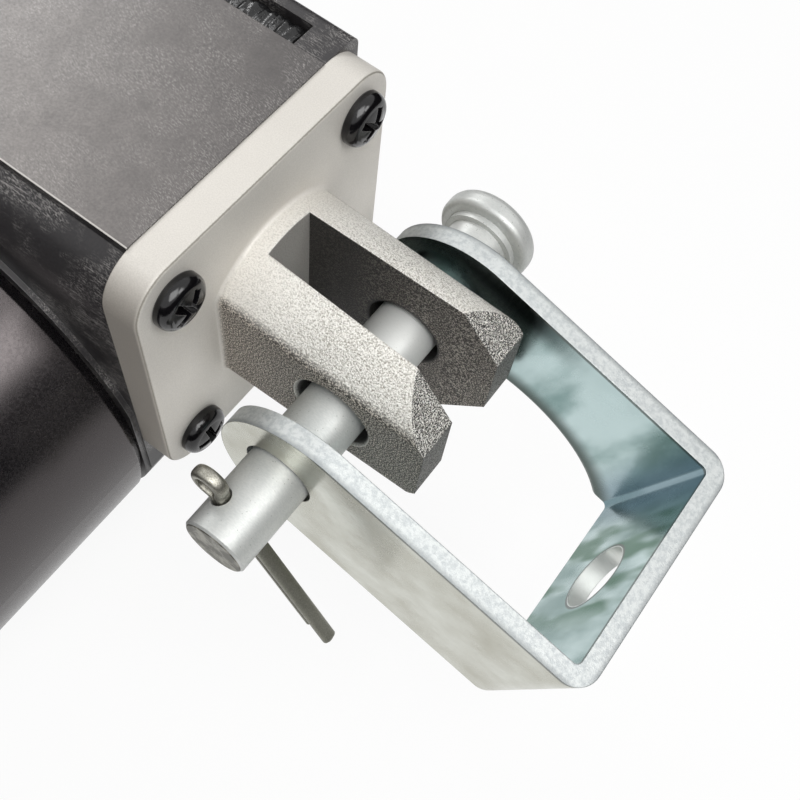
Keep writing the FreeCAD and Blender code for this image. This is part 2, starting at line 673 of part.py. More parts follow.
# Gear housing: block, raised flat, cable channel, worm barrel and motor flange
housing = new_body("gear_housing")
block_length = "housing_front - housing_rear"
feature(housing, "Pad", outline(housing, "YZ_Plane", [square], "housing_rear"), block_length)
eased(housing, "Fillet", lambda edge, mid: straight_along(edge, ALONG_X) and mid.y > 0 and mid.z > 0,
      "housing_shoulder_r")
eased(housing, "Fillet", lambda edge, mid: (
    straight_along(edge, ALONG_X) and near(mid.y, value(minus_half_plate)) and near(mid.z, value(half_plate))
), "housing_edge_r")
eased(housing, "Fillet", lambda edge, mid: (
    straight_along(edge, ALONG_X) and near(mid.z, value(minus_half_plate))
), "housing_foot_r")
lid = [
    ("0 - lid_far", "plate_w / 2 - housing_shoulder_r"),
    ("lid_near", "plate_w / 2 - housing_shoulder_r"),
    ("lid_near", "plate_w / 2 + lid_t"),
    ("0 - lid_far", "plate_w / 2 + lid_t"),
]
feature(housing, "Pad", outline(housing, "YZ_Plane", [lid], "housing_rear"), block_length)
channel = [
    ("0 - channel_far", "plate_w / 2 - channel_depth"),
    ("0 - lid_far", "plate_w / 2 - channel_depth"),
    ("0 - lid_far", "plate_w / 2 + lid_t + cut_over"),
    ("0 - channel_far", "plate_w / 2 + lid_t + cut_over"),
]
channel_sketch = outline(housing, "YZ_Plane", [channel], "housing_front")
feature(housing, "Pocket", channel_sketch, "housing_front - channel_start")
barrel = circles(housing, "XZ_Plane", [("motor_x", "motor_z", "bulge_r")], "0 - motor_face")
feature(housing, "Pad", barrel, "motor_face + bulge_far")
flange = circles(housing, "XZ_Plane", [("motor_x", "motor_z", "can_r")], "0 - motor_face")
feature(housing, "Pad", flange, "flange_t")
behind = [
    ("housing_rear + flange_clear - can_r", "motor_z - can_r"),
    ("housing_rear + flange_clear", "motor_z - can_r"),
    ("housing_rear + flange_clear", "motor_z + can_r"),
    ("housing_rear + flange_clear - can_r", "motor_z + can_r"),
]
behind_sketch = outline(housing, "XZ_Plane", [behind], "0 - motor_face")
feature(housing, "Pocket", behind_sketch, "motor_face - plate_w / 2", True)
below_plate = [
    ("housing_rear - can_r", "motor_z - can_r"),
    ("housing_rear", "motor_z - can_r"),
    ("housing_rear", "motor_z + can_r"),
    ("housing_rear - can_r", "motor_z + can_r"),
]
feature(housing, "Pocket", outline(housing, "XZ_Plane", [below_plate], "0 - motor_face"),
        "motor_face + plate_w / 2", True)
middle = "0"
for bore_r, bore_from, bore_depth in (
    ("seal_r", "housing_front", "seal_w"),
    ("tube_r", "housing_front", "housing_front - socket_back"),
    ("chamber_r", "housing_front", "housing_front - chamber_back"),
    ("spindle_room_r", "housing_front", "housing_front - housing_rear"),
    ("rear_bearing_r", "rear_bearing_end", "rear_bearing_end - housing_rear"),
):
    bore = circles(housing, "YZ_Plane", [(middle, middle, bore_r)], bore_from)
    feature(housing, "Pocket", bore, bore_depth)
worm_room = circles(housing, "XZ_Plane", [("motor_x", "motor_z", "worm_room_r")], "worm_room_far")
feature(housing, "Pocket", worm_room, "worm_room_far + motor_face")
housing_holes = [(across, up, "screw_d / 2") for across, up in screw_spots]
screw_holes = circles(housing, "YZ_Plane", housing_holes, "housing_rear + screw_depth")
feature(housing, "Pocket", screw_holes, "screw_depth")
bolt_spots = [
    ("motor_x", "motor_z + bolt_circle_r", "bolt_r"),
    ("motor_x", "motor_z - bolt_circle_r", "bolt_r"),
]
feature(housing, "Pocket", circles(housing, "XZ_Plane", bolt_spots, "flange_t - motor_face"), "flange_t")


# Ball bearings: grooved races with a ring of balls between them
def bearing(prefix, start, bore, outer):
    """Outer race, inner race and balls of a bearing that starts at a tied x."""
    pitch = "((%s) + (%s)) / 2" % (bore, outer)
    centre = "(%s) + bearing_w / 2" % start
    for part_name, inside, outside in (
        ("outer_race", "(%s) - race_t" % outer, outer),
        ("inner_race", bore, "(%s) + race_t" % bore),
    ):
        blank = ring(prefix + "_" + part_name + "_blank", start, "bearing_w", inside, outside)
        groove = doc.addObject("Part::Torus", prefix + "_" + part_name + "_groove")
        bind(groove, Radius1=pitch, Radius2="ball_r + ball_clear")
        groove.Placement = FreeCAD.Placement(FreeCAD.Vector(), Z_TO_X)
        place(groove, centre)
        cut(prefix + "_" + part_name, blank, [groove])
    balls = []
    for i in range(int(value("balls"))):
        ball = doc.addObject("Part::Sphere", prefix + "_ball")
        bind(ball, Radius="ball_r")
        turn = "%d * 360 deg / balls" % i
        place(ball, centre, "%s * cos(%s)" % (pitch, turn), "%s * sin(%s)" % (pitch, turn))
        balls.append(ball)
    group(prefix + "_balls", balls)


bearing("rear_bearing", "rear_bearing_x", "rear_journal_r", "rear_bearing_r")
bearing("front_bearing", "front_bearing_x", "spindle_r", "front_bearing_r")
spun("bearing_carrier", [
    ("socket_back", "carrier_lip_r"),
    ("socket_back", "tube_r"),
    ("front_bearing_end", "tube_r"),
    ("front_bearing_end", "front_bearing_r"),
    ("front_bearing_x", "front_bearing_r"),
    ("front_bearing_x", "carrier_lip_r"),
])

# Outer tube, its seal and the front cap with rod bush and wiper
ring("outer_tube", "front_bearing_end", "tube_end - front_bearing_end", "tube_bore_r", "tube_r")
spun("tube_seal", [
    ("housing_front - seal_w", "tube_r"),
    ("housing_front - seal_w", "seal_r"),
    ("housing_front - seal_w / 4", "seal_r"),
    ("housing_front", "(tube_r + seal_r) / 2"),
    ("housing_front - seal_w / 4", "tube_r"),
])
spun("front_cap", [
    ("spigot_back", "rod_bush_r"),
    ("spigot_back", "tube_bore_r"),
    ("tube_end", "tube_bore_r"),
    ("tube_end", "tube_r"),
    ("cap_front - cap_front_edge", "tube_r"),
    ("cap_front", "tube_r - cap_front_edge"),
    ("cap_front", "wiper_r"),
    ("cap_front - wiper_w", "wiper_r"),
    ("cap_front - wiper_w", "rod_r + land_clear"),
    ("spigot_back + rod_bush_w", "rod_r + land_clear"),
    ("spigot_back + rod_bush_w", "rod_bush_r"),
])
ring("rod_bush", "spigot_back", "rod_bush_w", "rod_r + run_clear", "rod_bush_r")
spun("rod_wiper", [
    ("cap_front - wiper_w", "rod_r + land_clear"),
    ("cap_front - wiper_w", "wiper_r"),
    ("cap_front", "wiper_r"),
    ("cap_front + wiper_lip", "rod_r + wiper_lip_t"),
    ("cap_front + wiper_lip", "rod_r + run_clear"),
])

# Sensor board with its two sensors, under the top of the tube
board_start = "magnet_x - sensor_l / 2"
board_length = "stroke + sensor_l + strip_board_margin"
box("limit_sensor_strip", (board_start, "0 - strip_board_w / 2", "strip_board_top - strip_board_t"),
    (board_length, "strip_board_w", "strip_board_t"))
sensors = []
for sensor_x in (board_start, board_start + " + stroke"):
    sensor_spot = (sensor_x, "0 - sensor_w / 2", "sensor_z")
    sensors.append(box("limit_sensor", sensor_spot, ("sensor_l", "sensor_w", "sensor_t")))
group("limit_sensors", sensors)

# Lead screw with its collar, key seat and ring groove
screw_blank = spun("lead_screw_blank", [
    ("housing_rear + spindle_back_gap", "0"),
    ("housing_rear + spindle_back_gap", "rear_journal_r"),
    ("rear_bearing_end", "rear_journal_r"),
    ("rear_bearing_end", "spindle_r"),
    ("clip_x", "spindle_r"),
    ("clip_x", "clip_seat_r"),
    ("wheel_hub_back", "clip_seat_r"),
    ("wheel_hub_back", "spindle_r"),
    ("collar_back", "spindle_r"),
    ("collar_back", "collar_r"),
    ("front_bearing_x", "collar_r"),
    ("front_bearing_x", "spindle_r"),
    ("spindle_end - (spindle_r - spindle_point_r)", "spindle_r"),
    ("spindle_end", "spindle_point_r"),
    ("spindle_end", "0"),
])
key_start = ("motor_x - key_length / 2", "0 - key_w / 2", "key_floor")
key_span = ("key_length", "key_w", "key_top - key_floor")
cut("lead_screw", screw_blank, [box("spindle_key_seat", key_start, key_span)])
box("wheel_key", key_start, key_span)
clip_blank = ring("wheel_clip_blank", "clip_x", "clip_t", "clip_seat_r", "clip_r")
clip_mouth_spot = ("clip_x", "0 - clip_gap / 2", "0 - clip_r")
clip_mouth = box("wheel_clip_mouth", clip_mouth_spot, ("clip_t", "clip_gap", "clip_r"))
cut("wheel_clip", clip_blank, [clip_mouth])


# Worm wheel: toothed rim lofted along its leaning teeth
def tooth_wire(at_x):
    """The rim's outline at one x, turned to follow the lean of the teeth; a gap faces the worm."""
    count = int(value("wheel_teeth"))
    step = 2 * math.pi / count
    lean = value("tooth_lean") * (at_x - value("motor_x"))
    half_base = step * value("tooth_base_share") / 2
    half_tip = step * value("tooth_tip_share") / 2
    points = []
    for i in range(count):
        centre = -math.pi / 2 + step * (i + 0.5) + lean
        for angle, radius in (
            (centre - half_base, value("wheel_root_r")),
            (centre - half_tip, value("wheel_tip_r")),
            (centre + half_tip, value("wheel_tip_r")),
            (centre + half_base, value("wheel_root_r")),
        ):
            points.append(FreeCAD.Vector(at_x, radius * math.cos(angle), radius * math.sin(angle)))
    return Part.makePolygon(points + points[:1])


rim_ends = [value("wheel_back"), value("wheel_back + wheel_face")]
rim = doc.addObject("Part::Feature", "worm_wheel_rim")
rim.Shape = Part.makeLoft([tooth_wire(end) for end in rim_ends], True, True)
hub_w = "collar_back - wheel_hub_back"
hub_spot = ("wheel_hub_back", "0", "0")
hub = rod("worm_wheel_hub", "wheel_hub_r", hub_w, Z_TO_X, hub_spot)
wheel_blank = fused("worm_wheel_blank", [rim, hub])
wheel_bore = rod("worm_wheel_bore", "spindle_r", hub_w, Z_TO_X, hub_spot)
wheel_seat = box("worm_wheel_key_seat", ("motor_x - key_length / 2", "0 - key_w / 2", "0"),
                 ("key_length", "key_w", "key_top"))
cut("worm_wheel", wheel_blank, [wheel_bore, wheel_seat])

# Worm cut on the motor shaft: a helical thread joined to a stepped core
worm_core = on_motor_axis(spun("worm_core", [
    ("worm_bush_from", "0"),
    ("worm_bush_from", "journal_r"),
    ("worm_bush_from + journal_w", "journal_r"),
    ("worm_bush_from + journal_w", "worm_root_r"),
    ("0 - motor_face + worm_half + worm_pitch / 2", "worm_root_r"),
    ("0 - bush_w / 4", "shaft_r"),
    ("shaft_tail", "shaft_r"),
    ("shaft_tail", "0"),
]))
thread_length = 2 * value("worm_half") - value("worm_pitch")
helix = Part.makeHelix(value("worm_pitch"), thread_length, value("worm_root_r"))
sunk = value("run_clear")
half_base_w = value("worm_base_w") / 2
half_crest_w = value("worm_crest_w") / 2
profile = Part.makePolygon([
    FreeCAD.Vector(value("worm_root_r") - sunk, 0, -half_base_w),
    FreeCAD.Vector(value("worm_tip_r"), 0, -half_crest_w),
    FreeCAD.Vector(value("worm_tip_r"), 0, half_crest_w),
    FreeCAD.Vector(value("worm_root_r") - sunk, 0, half_base_w),
    FreeCAD.Vector(value("worm_root_r") - sunk, 0, -half_base_w),
])
thread = doc.addObject("Part::Feature", "worm_thread")
thread.Shape = Part.Wire(helix).makePipeShell([profile], True, True)
# The thread starts on +X; this turn puts a crest on the wheel's side at the middle of the worm.
crest_turns = (thread_length / 2) / value("worm_pitch")
start_turn = FreeCAD.Rotation(ALONG_Z, -90 - 360 * (crest_turns - round(crest_turns)))
thread.Placement = FreeCAD.Placement(
    FreeCAD.Vector(value("motor_x"), -thread_length / 2, value("motor_z")), Z_TO_Y.multiply(start_turn))
fused("worm_shaft", [worm_core, thread])
on_motor_axis(ring("worm_bush", "worm_bush_from", "journal_w", "journal_r + run_clear", "worm_room_r"))

# Motor: can, magnets, bushes, armature, commutator, brush gear and end cap
can = on_motor_axis(new_body("motor_can"))
turned(can, [
    ("0", "bush_r"),
    ("0", "can_r - can_edge"),
    ("can_edge", "can_r"),
    ("can_length", "can_r"),
    ("can_length", "can_bore_r"),
    ("can_wall", "can_bore_r"),
    ("can_wall", "bush_r"),
])
bolt_passes = [
    ("0", "bolt_circle_r", "bolt_r + bolt_clear"),
    ("0", "0 - bolt_circle_r", "bolt_r + bolt_clear"),
]
feature(can, "Pocket", circles(can, "YZ_Plane", bolt_passes, "can_wall"), "can_wall")
on_motor_axis(ring("motor_front_bush", "0", "bush_w", "shaft_r + run_clear", "bush_r"))
magnet_pair = []
for middle_turn in (0, 180):
    shell = doc.addObject("Part::Cylinder", "motor_magnet_outside")
    core = doc.addObject("Part::Cylinder", "motor_magnet_inside")
    bind(shell, Radius="can_bore_r", Height="magnet_length", Angle="magnet_angle")
    bind(core, Radius="can_bore_r - magnet_t", Height="magnet_length", Angle="magnet_angle")
    for piece in (shell, core):
        spin = FreeCAD.Rotation(ALONG_Z, middle_turn - value("magnet_angle") / 2)
        piece.Placement = FreeCAD.Placement(FreeCAD.Vector(), Z_TO_Y.multiply(spin))
        place(piece, "motor_x", "motor_face + magnet_from", "motor_z")
    magnet_pair.append(cut("motor_magnet", shell, [core]))
group("motor_magnets", magnet_pair)
slot_turns = ["%d * 45 deg" % i for i in range(8)]


def on_circle(radius, turn, axial):
    """A tied point at an angle round the motor axis, a distance from the motor's face."""
    return (
        "motor_x + (%s) * cos(%s)" % (radius, turn),
        "motor_face + %s" % axial,
        "motor_z + (%s) * sin(%s)" % (radius, turn),
    )


core_blank = on_motor_axis(ring("armature_core_blank", "core_from", "core_length", "shaft_r", "core_r"))
slots = []
bars = []
for i, turn in enumerate(slot_turns):
    slot_spot = on_circle("slot_pitch_r", turn, "core_from")
    slots.append(rod("armature_slot", "slot_r", "core_length", Z_TO_Y, slot_spot))
    opening = doc.addObject("Part::Box", "armature_slot_mouth")
    bind(opening, Length="core_r + cut_over - slot_pitch_r", Width="slot_mouth", Height="core_length")
    lay = FreeCAD.Rotation(ALONG_Y, -45 * i).multiply(Z_TO_Y)
    opening.Placement = FreeCAD.Placement(FreeCAD.Vector(), lay)
    side = "(0 - slot_mouth / 2)"
    place(opening, "motor_x + slot_pitch_r * cos(%s) + %s * sin(%s)" % (turn, side, turn),
          "motor_face + core_from",
          "motor_z + slot_pitch_r * sin(%s) - %s * cos(%s)" % (turn, side, turn))
    slots.append(opening)
    bars.append(rod("armature_bar", "slot_r - wire_clear", "core_length", Z_TO_Y,
                    on_circle("slot_pitch_r", turn, "core_from")))
cut("armature_core", core_blank, [fused("armature_slots", slots)])
coil_front = on_motor_axis(ring("armature_coil_front", "core_from - coil_t", "coil_t",
                                "coil_inner_r", "coil_outer_r"))
coil_rear = on_motor_axis(ring("armature_coil_rear", "core_from + core_length", "coil_t",
                               "coil_inner_r", "coil_outer_r"))
fused("armature_windings", [coil_front, coil_rear] + bars)
ring_blank = on_motor_axis(ring("commutator_blank", "commutator_from", "commutator_w",
                                "shaft_r", "commutator_r"))
gaps = []
for i in range(8):
    gap = doc.addObject("Part::Box", "commutator_gap")
    bind(gap, Length="segment_depth + cut_over", Width="segment_gap", Height="commutator_w")
    turn = "%d * 45 deg" % i
    lay = FreeCAD.Rotation(ALONG_Y, -45 * i).multiply(Z_TO_Y)
    gap.Placement = FreeCAD.Placement(FreeCAD.Vector(), lay)
    reach = "(commutator_r - segment_depth)"
    side = "(0 - segment_gap / 2)"
    place(gap, "motor_x + %s * cos(%s) + %s * sin(%s)" % (reach, turn, side, turn),
          "motor_face + commutator_from",
          "motor_z + %s * sin(%s) - %s * cos(%s)" % (reach, turn, side, turn))
    gaps.append(gap)
cut("commutator", ring_blank, [fused("commutator_gaps", gaps)])

plate = on_motor_axis(ring("brush_plate", "holder_from", "holder_t", "holder_hole_r", "can_bore_r"))
guides = []
tunnels = []
brush_pair = []
spring_pair = []
for side in (1, -1):
    turn = "%d deg" % (0 if side > 0 else 180)
    guide_at = "motor_x + %d * (holder_hole_r + guide_end_r) / 2" % side
    guide_len = "guide_end_r - holder_hole_r"
    brush_y = "motor_face + brush_axial"
    guide_spot = (guide_at + " - (%s) / 2" % guide_len, brush_y + " - guide_half", "motor_z - guide_half")
    guides.append(box("brush_guide", guide_spot, (guide_len, "2 * guide_half", "2 * guide_half")))
    tunnel_half = "(brush_w / 2 + brush_clear)"
    tunnel_len = guide_len + " - guide_wall"
    tunnel_at = "motor_x + %d * (holder_hole_r + guide_end_r - guide_wall) / 2" % side
    tunnel_spot = (tunnel_at + " - (%s) / 2" % tunnel_len, brush_y + " - " + tunnel_half,
                   "motor_z - " + tunnel_half)
    tunnels.append(box("brush_tunnel", tunnel_spot, (tunnel_len, "2 * " + tunnel_half, "2 * " + tunnel_half)))
    brush_at = "motor_x + %d * (commutator_r + brush_clear + brush_length / 2)" % side
    brush_pair.append(box("carbon_brush", (brush_at + " - brush_length / 2", brush_y + " - brush_w / 2",
                                           "motor_z - brush_w / 2"), ("brush_length", "brush_w", "brush_w")))
    spring_from = "commutator_r + brush_clear + brush_length"
    spring_len = "guide_end_r - guide_wall - (%s)" % spring_from
    lay = FreeCAD.Rotation(ALONG_Y, 90 * side)
    spring_spot = ("motor_x + %d * (%s)" % (side, spring_from), brush_y, "motor_z")
    coil = rod("brush_spring_outside", "spring_r", spring_len, lay, spring_spot)
    hollow = rod("brush_spring_inside", "spring_r - spring_wire", spring_len, lay, spring_spot)
    spring_pair.append(cut("brush_spring", coil, [hollow]))
bolt_bores = []
bolts = []
for side in ("+", "-"):
    bolt_z = "motor_z %s bolt_circle_r" % side
    bolt_bores.append(rod("brush_plate_bore", "bolt_r + bolt_clear", "holder_t", Z_TO_Y,
                          ("motor_x", "motor_face + holder_from", bolt_z)))
    shank_spot = ("motor_x", "motor_face - flange_t", bolt_z)
    shank = rod("motor_bolt_shank", "bolt_r", "flange_t + cap_end", Z_TO_Y, shank_spot)
    head_spot = ("motor_x", "motor_face + cap_end", bolt_z)
    head = rod("motor_bolt_head", "bolt_head_r", "bolt_head_t", Z_TO_Y, head_spot)
    bolts.append(fused("motor_bolt", [shank, head]))
holder_blank = fused("brush_holder_blank", [plate] + guides)
cut("brush_holder", holder_blank, [fused("brush_holder_cuts", tunnels + bolt_bores)])
group("brushes", brush_pair)
group("brush_springs", spring_pair)
group("motor_bolts", bolts)

cap = on_motor_axis(new_body("motor_end_cap"))
turned(cap, [
    ("can_length", "can_r - cap_wall"),
    ("can_length", "can_r"),
    ("cap_end - cap_edge", "can_r"),
    ("cap_end", "can_r - cap_edge"),
    ("cap_end", "0"),
    ("cap_end - cap_end_t", "0"),
    ("cap_end - cap_end_t", "bush_r"),
    ("cap_end - cap_end_t - bush_w", "bush_r"),
    ("cap_end - cap_end_t - bush_w", "hub_r"),
    ("cap_end - cap_end_t", "hub_r"),
    ("cap_end - cap_end_t", "can_r - cap_wall"),
])
cap_passes = bolt_passes + [("0 - grommet_at", "0", "grommet_r")]
feature(cap, "Pocket", circles(cap, "YZ_Plane", cap_passes, "cap_end"), "cap_end_t")
on_motor_axis(ring("motor_rear_bush", "cap_end - cap_end_t - bush_w", "bush_w",
                   "shaft_r + run_clear", "bush_r"))
grommet = spun("cable_grommet", [
    ("cap_end - cap_end_t - grommet_lip_t", "grommet_hole_r"),
    ("cap_end - cap_end_t - grommet_lip_t", "grommet_lip_r"),
    ("cap_end - cap_end_t", "grommet_lip_r"),
    ("cap_end - cap_end_t", "grommet_r"),
    ("cap_end", "grommet_r"),
    ("cap_end", "grommet_lip_r"),
    ("cap_end + grommet_lip_t", "grommet_r"),
    ("cap_end + grommet_lip_t", "grommet_hole_r"),
])
grommet.Placement = FreeCAD.Placement(FreeCAD.Vector(), X_TO_Y)
place(grommet, "motor_x + grommet_at", "motor_face", "motor_z")

# Drive nut with its trip magnet, rod and rod end
nut_blank = spun("drive_nut_blank", [
    ("nut_back", "spindle_r + nut_clear"),
    ("nut_back", "nut_r - nut_edge"),
    ("nut_back + nut_edge", "nut_r"),
    ("nut_front - nut_edge", "nut_r"),
    ("nut_front", "nut_r - nut_edge"),
    ("nut_front", "rod_r"),
    ("nut_step", "rod_r"),
    ("nut_step", "spindle_r + nut_clear"),
])
track_spot = ("nut_back", "0 - track_w / 2", "track_floor")
track = box("drive_nut_track", track_spot, ("nut_length", "track_w", "tube_r - track_floor"))
magnet_spot = ("magnet_x", "0", "track_floor - magnet_depth")
pocket = rod("drive_nut_pocket", "magnet_r", "magnet_depth", FreeCAD.Rotation(), magnet_spot)
cut("drive_nut", nut_blank, [track, pocket])
rod("trip_magnet", "magnet_r", "magnet_depth", FreeCAD.Rotation(), magnet_spot)
rod_blank = ring("piston_rod_blank", "nut_step", "rod_end_x - nut_step", "rod_bore_r", "rod_r")
pin_spot = ("roll_pin_x", "0 - rod_r + roll_pin_short", "0")
pin_length = "2 * (rod_r - roll_pin_short)"
pin_bore_spot = ("roll_pin_x", "0 - rod_r - cut_over", "0")
pin_bore_length = "2 * (rod_r + cut_over)"
cut("piston_rod", rod_blank, [rod("piston_rod_bore", "roll_pin_r", pin_bore_length, Z_TO_Y, pin_bore_spot)])
rod("rod_roll_pin", "roll_pin_r", pin_length, Z_TO_Y, pin_spot)
eye = new_body("rod_end")
turned(eye, [
    ("rod_end_x - shank_w", "0"),
    ("rod_end_x - shank_w", "rod_bore_r - eye_edge"),
    ("rod_end_x - shank_w + eye_edge", "rod_bore_r"),
    ("rod_end_x", "rod_bore_r"),
    ("rod_end_x", "rod_r"),
    ("shoulder_end", "rod_r"),
    ("shoulder_end", "0"),
])
neck_half = "sqrt(rod_r * rod_r - eye_t * eye_t / 4)"
neck = [
    ("shoulder_end - eye_edge", "0 - " + neck_half),
    ("eye_x", "0 - " + neck_half),
    ("eye_x", neck_half),
    ("shoulder_end - eye_edge", neck_half),
]
feature(eye, "Pad", outline(eye, "XZ_Plane", [neck], "0 - eye_t / 2"), "eye_t")
eye_disc = circles(eye, "XZ_Plane", [("eye_x", "0", "eye_r")], "0 - eye_t / 2")
feature(eye, "Pad", eye_disc, "eye_t")
eye_hole = circles(eye, "XZ_Plane", [("eye_x", "0", "eye_hole_d / 2")], "eye_t / 2")
feature(eye, "Pocket", eye_hole, "eye_t")
feature(eye, "Pocket", circles(eye, "XZ_Plane", [("roll_pin_x", "0", "roll_pin_r")], "rod_r"), "2 * rod_r")
eased(eye, "Chamfer", lambda edge, mid: (
    edge.Curve.TypeId == "Part::GeomCircle"
    and near(edge.Curve.Radius, value("eye_hole_d / 2"))
), "eye_edge")

# Mounting bracket: bent strip, round ears, pin holes, base hole and the far arm's hollow
bracket = new_body("mounting_bracket")
back = "0 - bracket_reach"
back_in = "strip_t - bracket_reach"
arms = [
    ("ear_tip", "0 - (arm_far_out)"),
    ("ear_tip", "0 - (arm_far_in)"),
    (back_in, "0 - (arm_far_in)"),
    (back_in, "arm_near_in"),
    ("ear_tip", "arm_near_in"),
    ("ear_tip", "arm_near_out"),
    (back, "arm_near_out"),
    (back, "0 - (arm_far_out)"),
]
feature(bracket, "Pad", outline(bracket, "XY_Plane", [arms], "0 - strip_w / 2"), "strip_w")
eased(bracket, "Fillet", lambda edge, mid: (
    straight_along(edge, ALONG_Z) and near(mid.x, value(back))
), "bend_r")
eased(bracket, "Fillet", lambda edge, mid: (
    straight_along(edge, ALONG_Z) and near(mid.x, value(back_in))
), "bend_inner_r")
eased(bracket, "Fillet", lambda edge, mid: straight_along(edge, ALONG_Y) and near(mid.x, value("ear_tip")),
      "strip_w / 2 - run_clear")
reach_y = "arm_near_out + cut_over"
ear_holes = circles(bracket, "XZ_Plane", [("0", "0", "ear_hole_d / 2")], "0 - (%s)" % reach_y)
feature(bracket, "Pocket", ear_holes, "2 * (%s)" % reach_y, True)
base_hole = circles(bracket, "YZ_Plane", [("bracket_shift", "0", "base_hole_d / 2")], back_in)
feature(bracket, "Pocket", base_hole, "strip_t")
bite = circles(bracket, "XZ_Plane", [("0 - bite_at", "0 - bite_drop", "bite_r")], "arm_far_out + cut_over")
feature(bracket, "Pocket", bite, "arm_far_out")
eased(bracket, "Fillet", lambda edge, mid: (
    edge.Curve.TypeId == "Part::GeomCircle"
    and near(edge.Curve.Radius, value("bite_r"))
    and near(mid.y, value("0 - (arm_far_in)"))
), "bite_roll")
drop = FreeCAD.Rotation(FreeCAD.Vector(0, -1, 0), value("bracket_drop"))
bracket.Placement = FreeCAD.Placement(FreeCAD.Vector(), drop)
bracket.setExpression(".Placement.Rotation.Angle", tied("bracket_drop"))

# Clevis pin with its cross hole, and the cotter that keeps it in
head_top = "0 - pin_head_reach - pin_head_t"
head_foot = "0 - pin_head_reach"
quarter = [str(15 * step) for step in range(7)]
outer_rim = [
    (head_top + " + pin_head_round * (1 - cos(%s deg))" % turn,
     "pin_head_d / 2 - pin_head_round * (1 - sin(%s deg))" % turn)
    for turn in quarter
]
inner_rim = [
    (head_foot + " - pin_head_foot * (1 - sin(%s deg))" % turn,
     "pin_head_d / 2 - pin_head_foot * (1 - cos(%s deg))" % turn)
    for turn in quarter
]
pin_blank = spun("clevis_pin_blank", [(head_top, "0")] + outer_rim + inner_rim + [
    (head_foot, "pin_neck_d / 2 + pin_collar_lip"),
    (head_foot + " + pin_collar_w", "pin_neck_d / 2 + pin_collar_lip"),
    (head_foot + " + pin_collar_w", "pin_neck_d / 2"),
    ("0 - (arm_far_out)", "pin_neck_d / 2"),
    ("0 - (arm_far_out)", "pin_d / 2"),
    ("pin_near_end - pin_edge", "pin_d / 2"),
    ("pin_near_end", "pin_d / 2 - pin_edge"),
    ("pin_near_end", "0"),
])
pin_blank.Placement = FreeCAD.Placement(FreeCAD.Vector(), X_TO_Y)
cotter_lay = FreeCAD.Rotation(ALONG_Y, 180 + value("cotter_turn"))
cross_start = ("pin_d * sin(cotter_turn * 1 deg)", "cotter_y", "pin_d * cos(cotter_turn * 1 deg)")
cross_hole = rod("clevis_pin_cross_hole", "cotter_hole_d / 2", "2 * pin_d", cotter_lay, cross_start)
cut("clevis_pin", pin_blank, [cross_hole])
eye_spot = (
    "cotter_eye_at * sin(cotter_turn * 1 deg)",
    "cotter_y",
    "cotter_eye_at * cos(cotter_turn * 1 deg)",
)
leg_top = "(cotter_eye_at - (cotter_eye_d + cotter_eye_hole) / 4)"
leg_spot = (leg_top + " * sin(cotter_turn * 1 deg)", "cotter_y", leg_top + " * cos(cotter_turn * 1 deg)")
legs = rod("cotter_legs", "cotter_d / 2", leg_top + " + cotter_tip", cotter_lay, leg_spot)
loop_spot = (eye_spot[0], "cotter_y - cotter_loop_w / 2", eye_spot[2])
loop = rod("cotter_loop", "cotter_eye_d / 2", "cotter_loop_w", Z_TO_Y, loop_spot)
loop_hole = rod("cotter_loop_hole", "cotter_eye_hole / 2", "cotter_loop_w", Z_TO_Y, loop_spot)
eye_ring = cut("cotter_eye", loop, [loop_hole])
split = doc.addObject("Part::Box", "cotter_slit")
bind(split, Length="cotter_split", Width="2 * cotter_d", Height="cotter_eye_at + cotter_tip + cut_over")
split.Placement = FreeCAD.Placement(FreeCAD.Vector(), cotter_lay)
place(split, "cotter_eye_at * sin(cotter_turn * 1 deg) + cotter_split / 2 * cos(cotter_turn * 1 deg)",
      "cotter_y - cotter_d",
      "cotter_eye_at * cos(cotter_turn * 1 deg) - cotter_split / 2 * sin(cotter_turn * 1 deg)")
cut("cotter_pin", fused("cotter_blank", [legs, eye_ring]), [split])

NODES = [
    "rear_clevis", "clevis_screws", "gear_housing", "bearing_carrier",
    "rear_bearing_outer_race", "rear_bearing_inner_race", "rear_bearing_balls",
    "front_bearing_outer_race", "front_bearing_inner_race", "front_bearing_balls",
    "outer_tube", "tube_seal", "front_cap", "rod_bush", "rod_wiper",
    "limit_sensor_strip", "limit_sensors",
    "lead_screw", "wheel_key", "wheel_clip", "worm_wheel", "worm_shaft", "worm_bush",
    "motor_can", "motor_front_bush", "motor_magnets", "armature_core", "armature_windings",
    "commutator", "brush_holder", "brushes", "brush_springs", "motor_bolts",
    "motor_end_cap", "motor_rear_bush", "cable_grommet",
    "drive_nut", "trip_magnet", "piston_rod", "rod_roll_pin", "rod_end",
    "mounting_bracket", "clevis_pin", "cotter_pin",
]

doc.recompute()
for item in doc.Objects:
    if "Invalid" in item.State or "Error" in item.State:
        raise RuntimeError("%s did not build" % item.Label)

os.makedirs("parts", exist_ok=True)
for node in NODES:
    piece = doc.getObject(node)
    if piece.Shape.isNull() or not piece.Shape.isValid():
        raise RuntimeError("%s has no valid shape" % node)
    piece.Shape.exportStep("parts/%s.step" % node)
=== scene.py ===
"""Looks of a worm-driven electric linear actuator: finishes on the solid parts and the small pieces that need
finer shapes, set out as a Blender add-on."""

import math
from functools import partial

import bpy
import numpy as np
from bpy.props import FloatProperty, FloatVectorProperty, IntProperty, PointerProperty
from bpy.types import Operator, Panel, PropertyGroup
from mathutils import Matrix, Vector


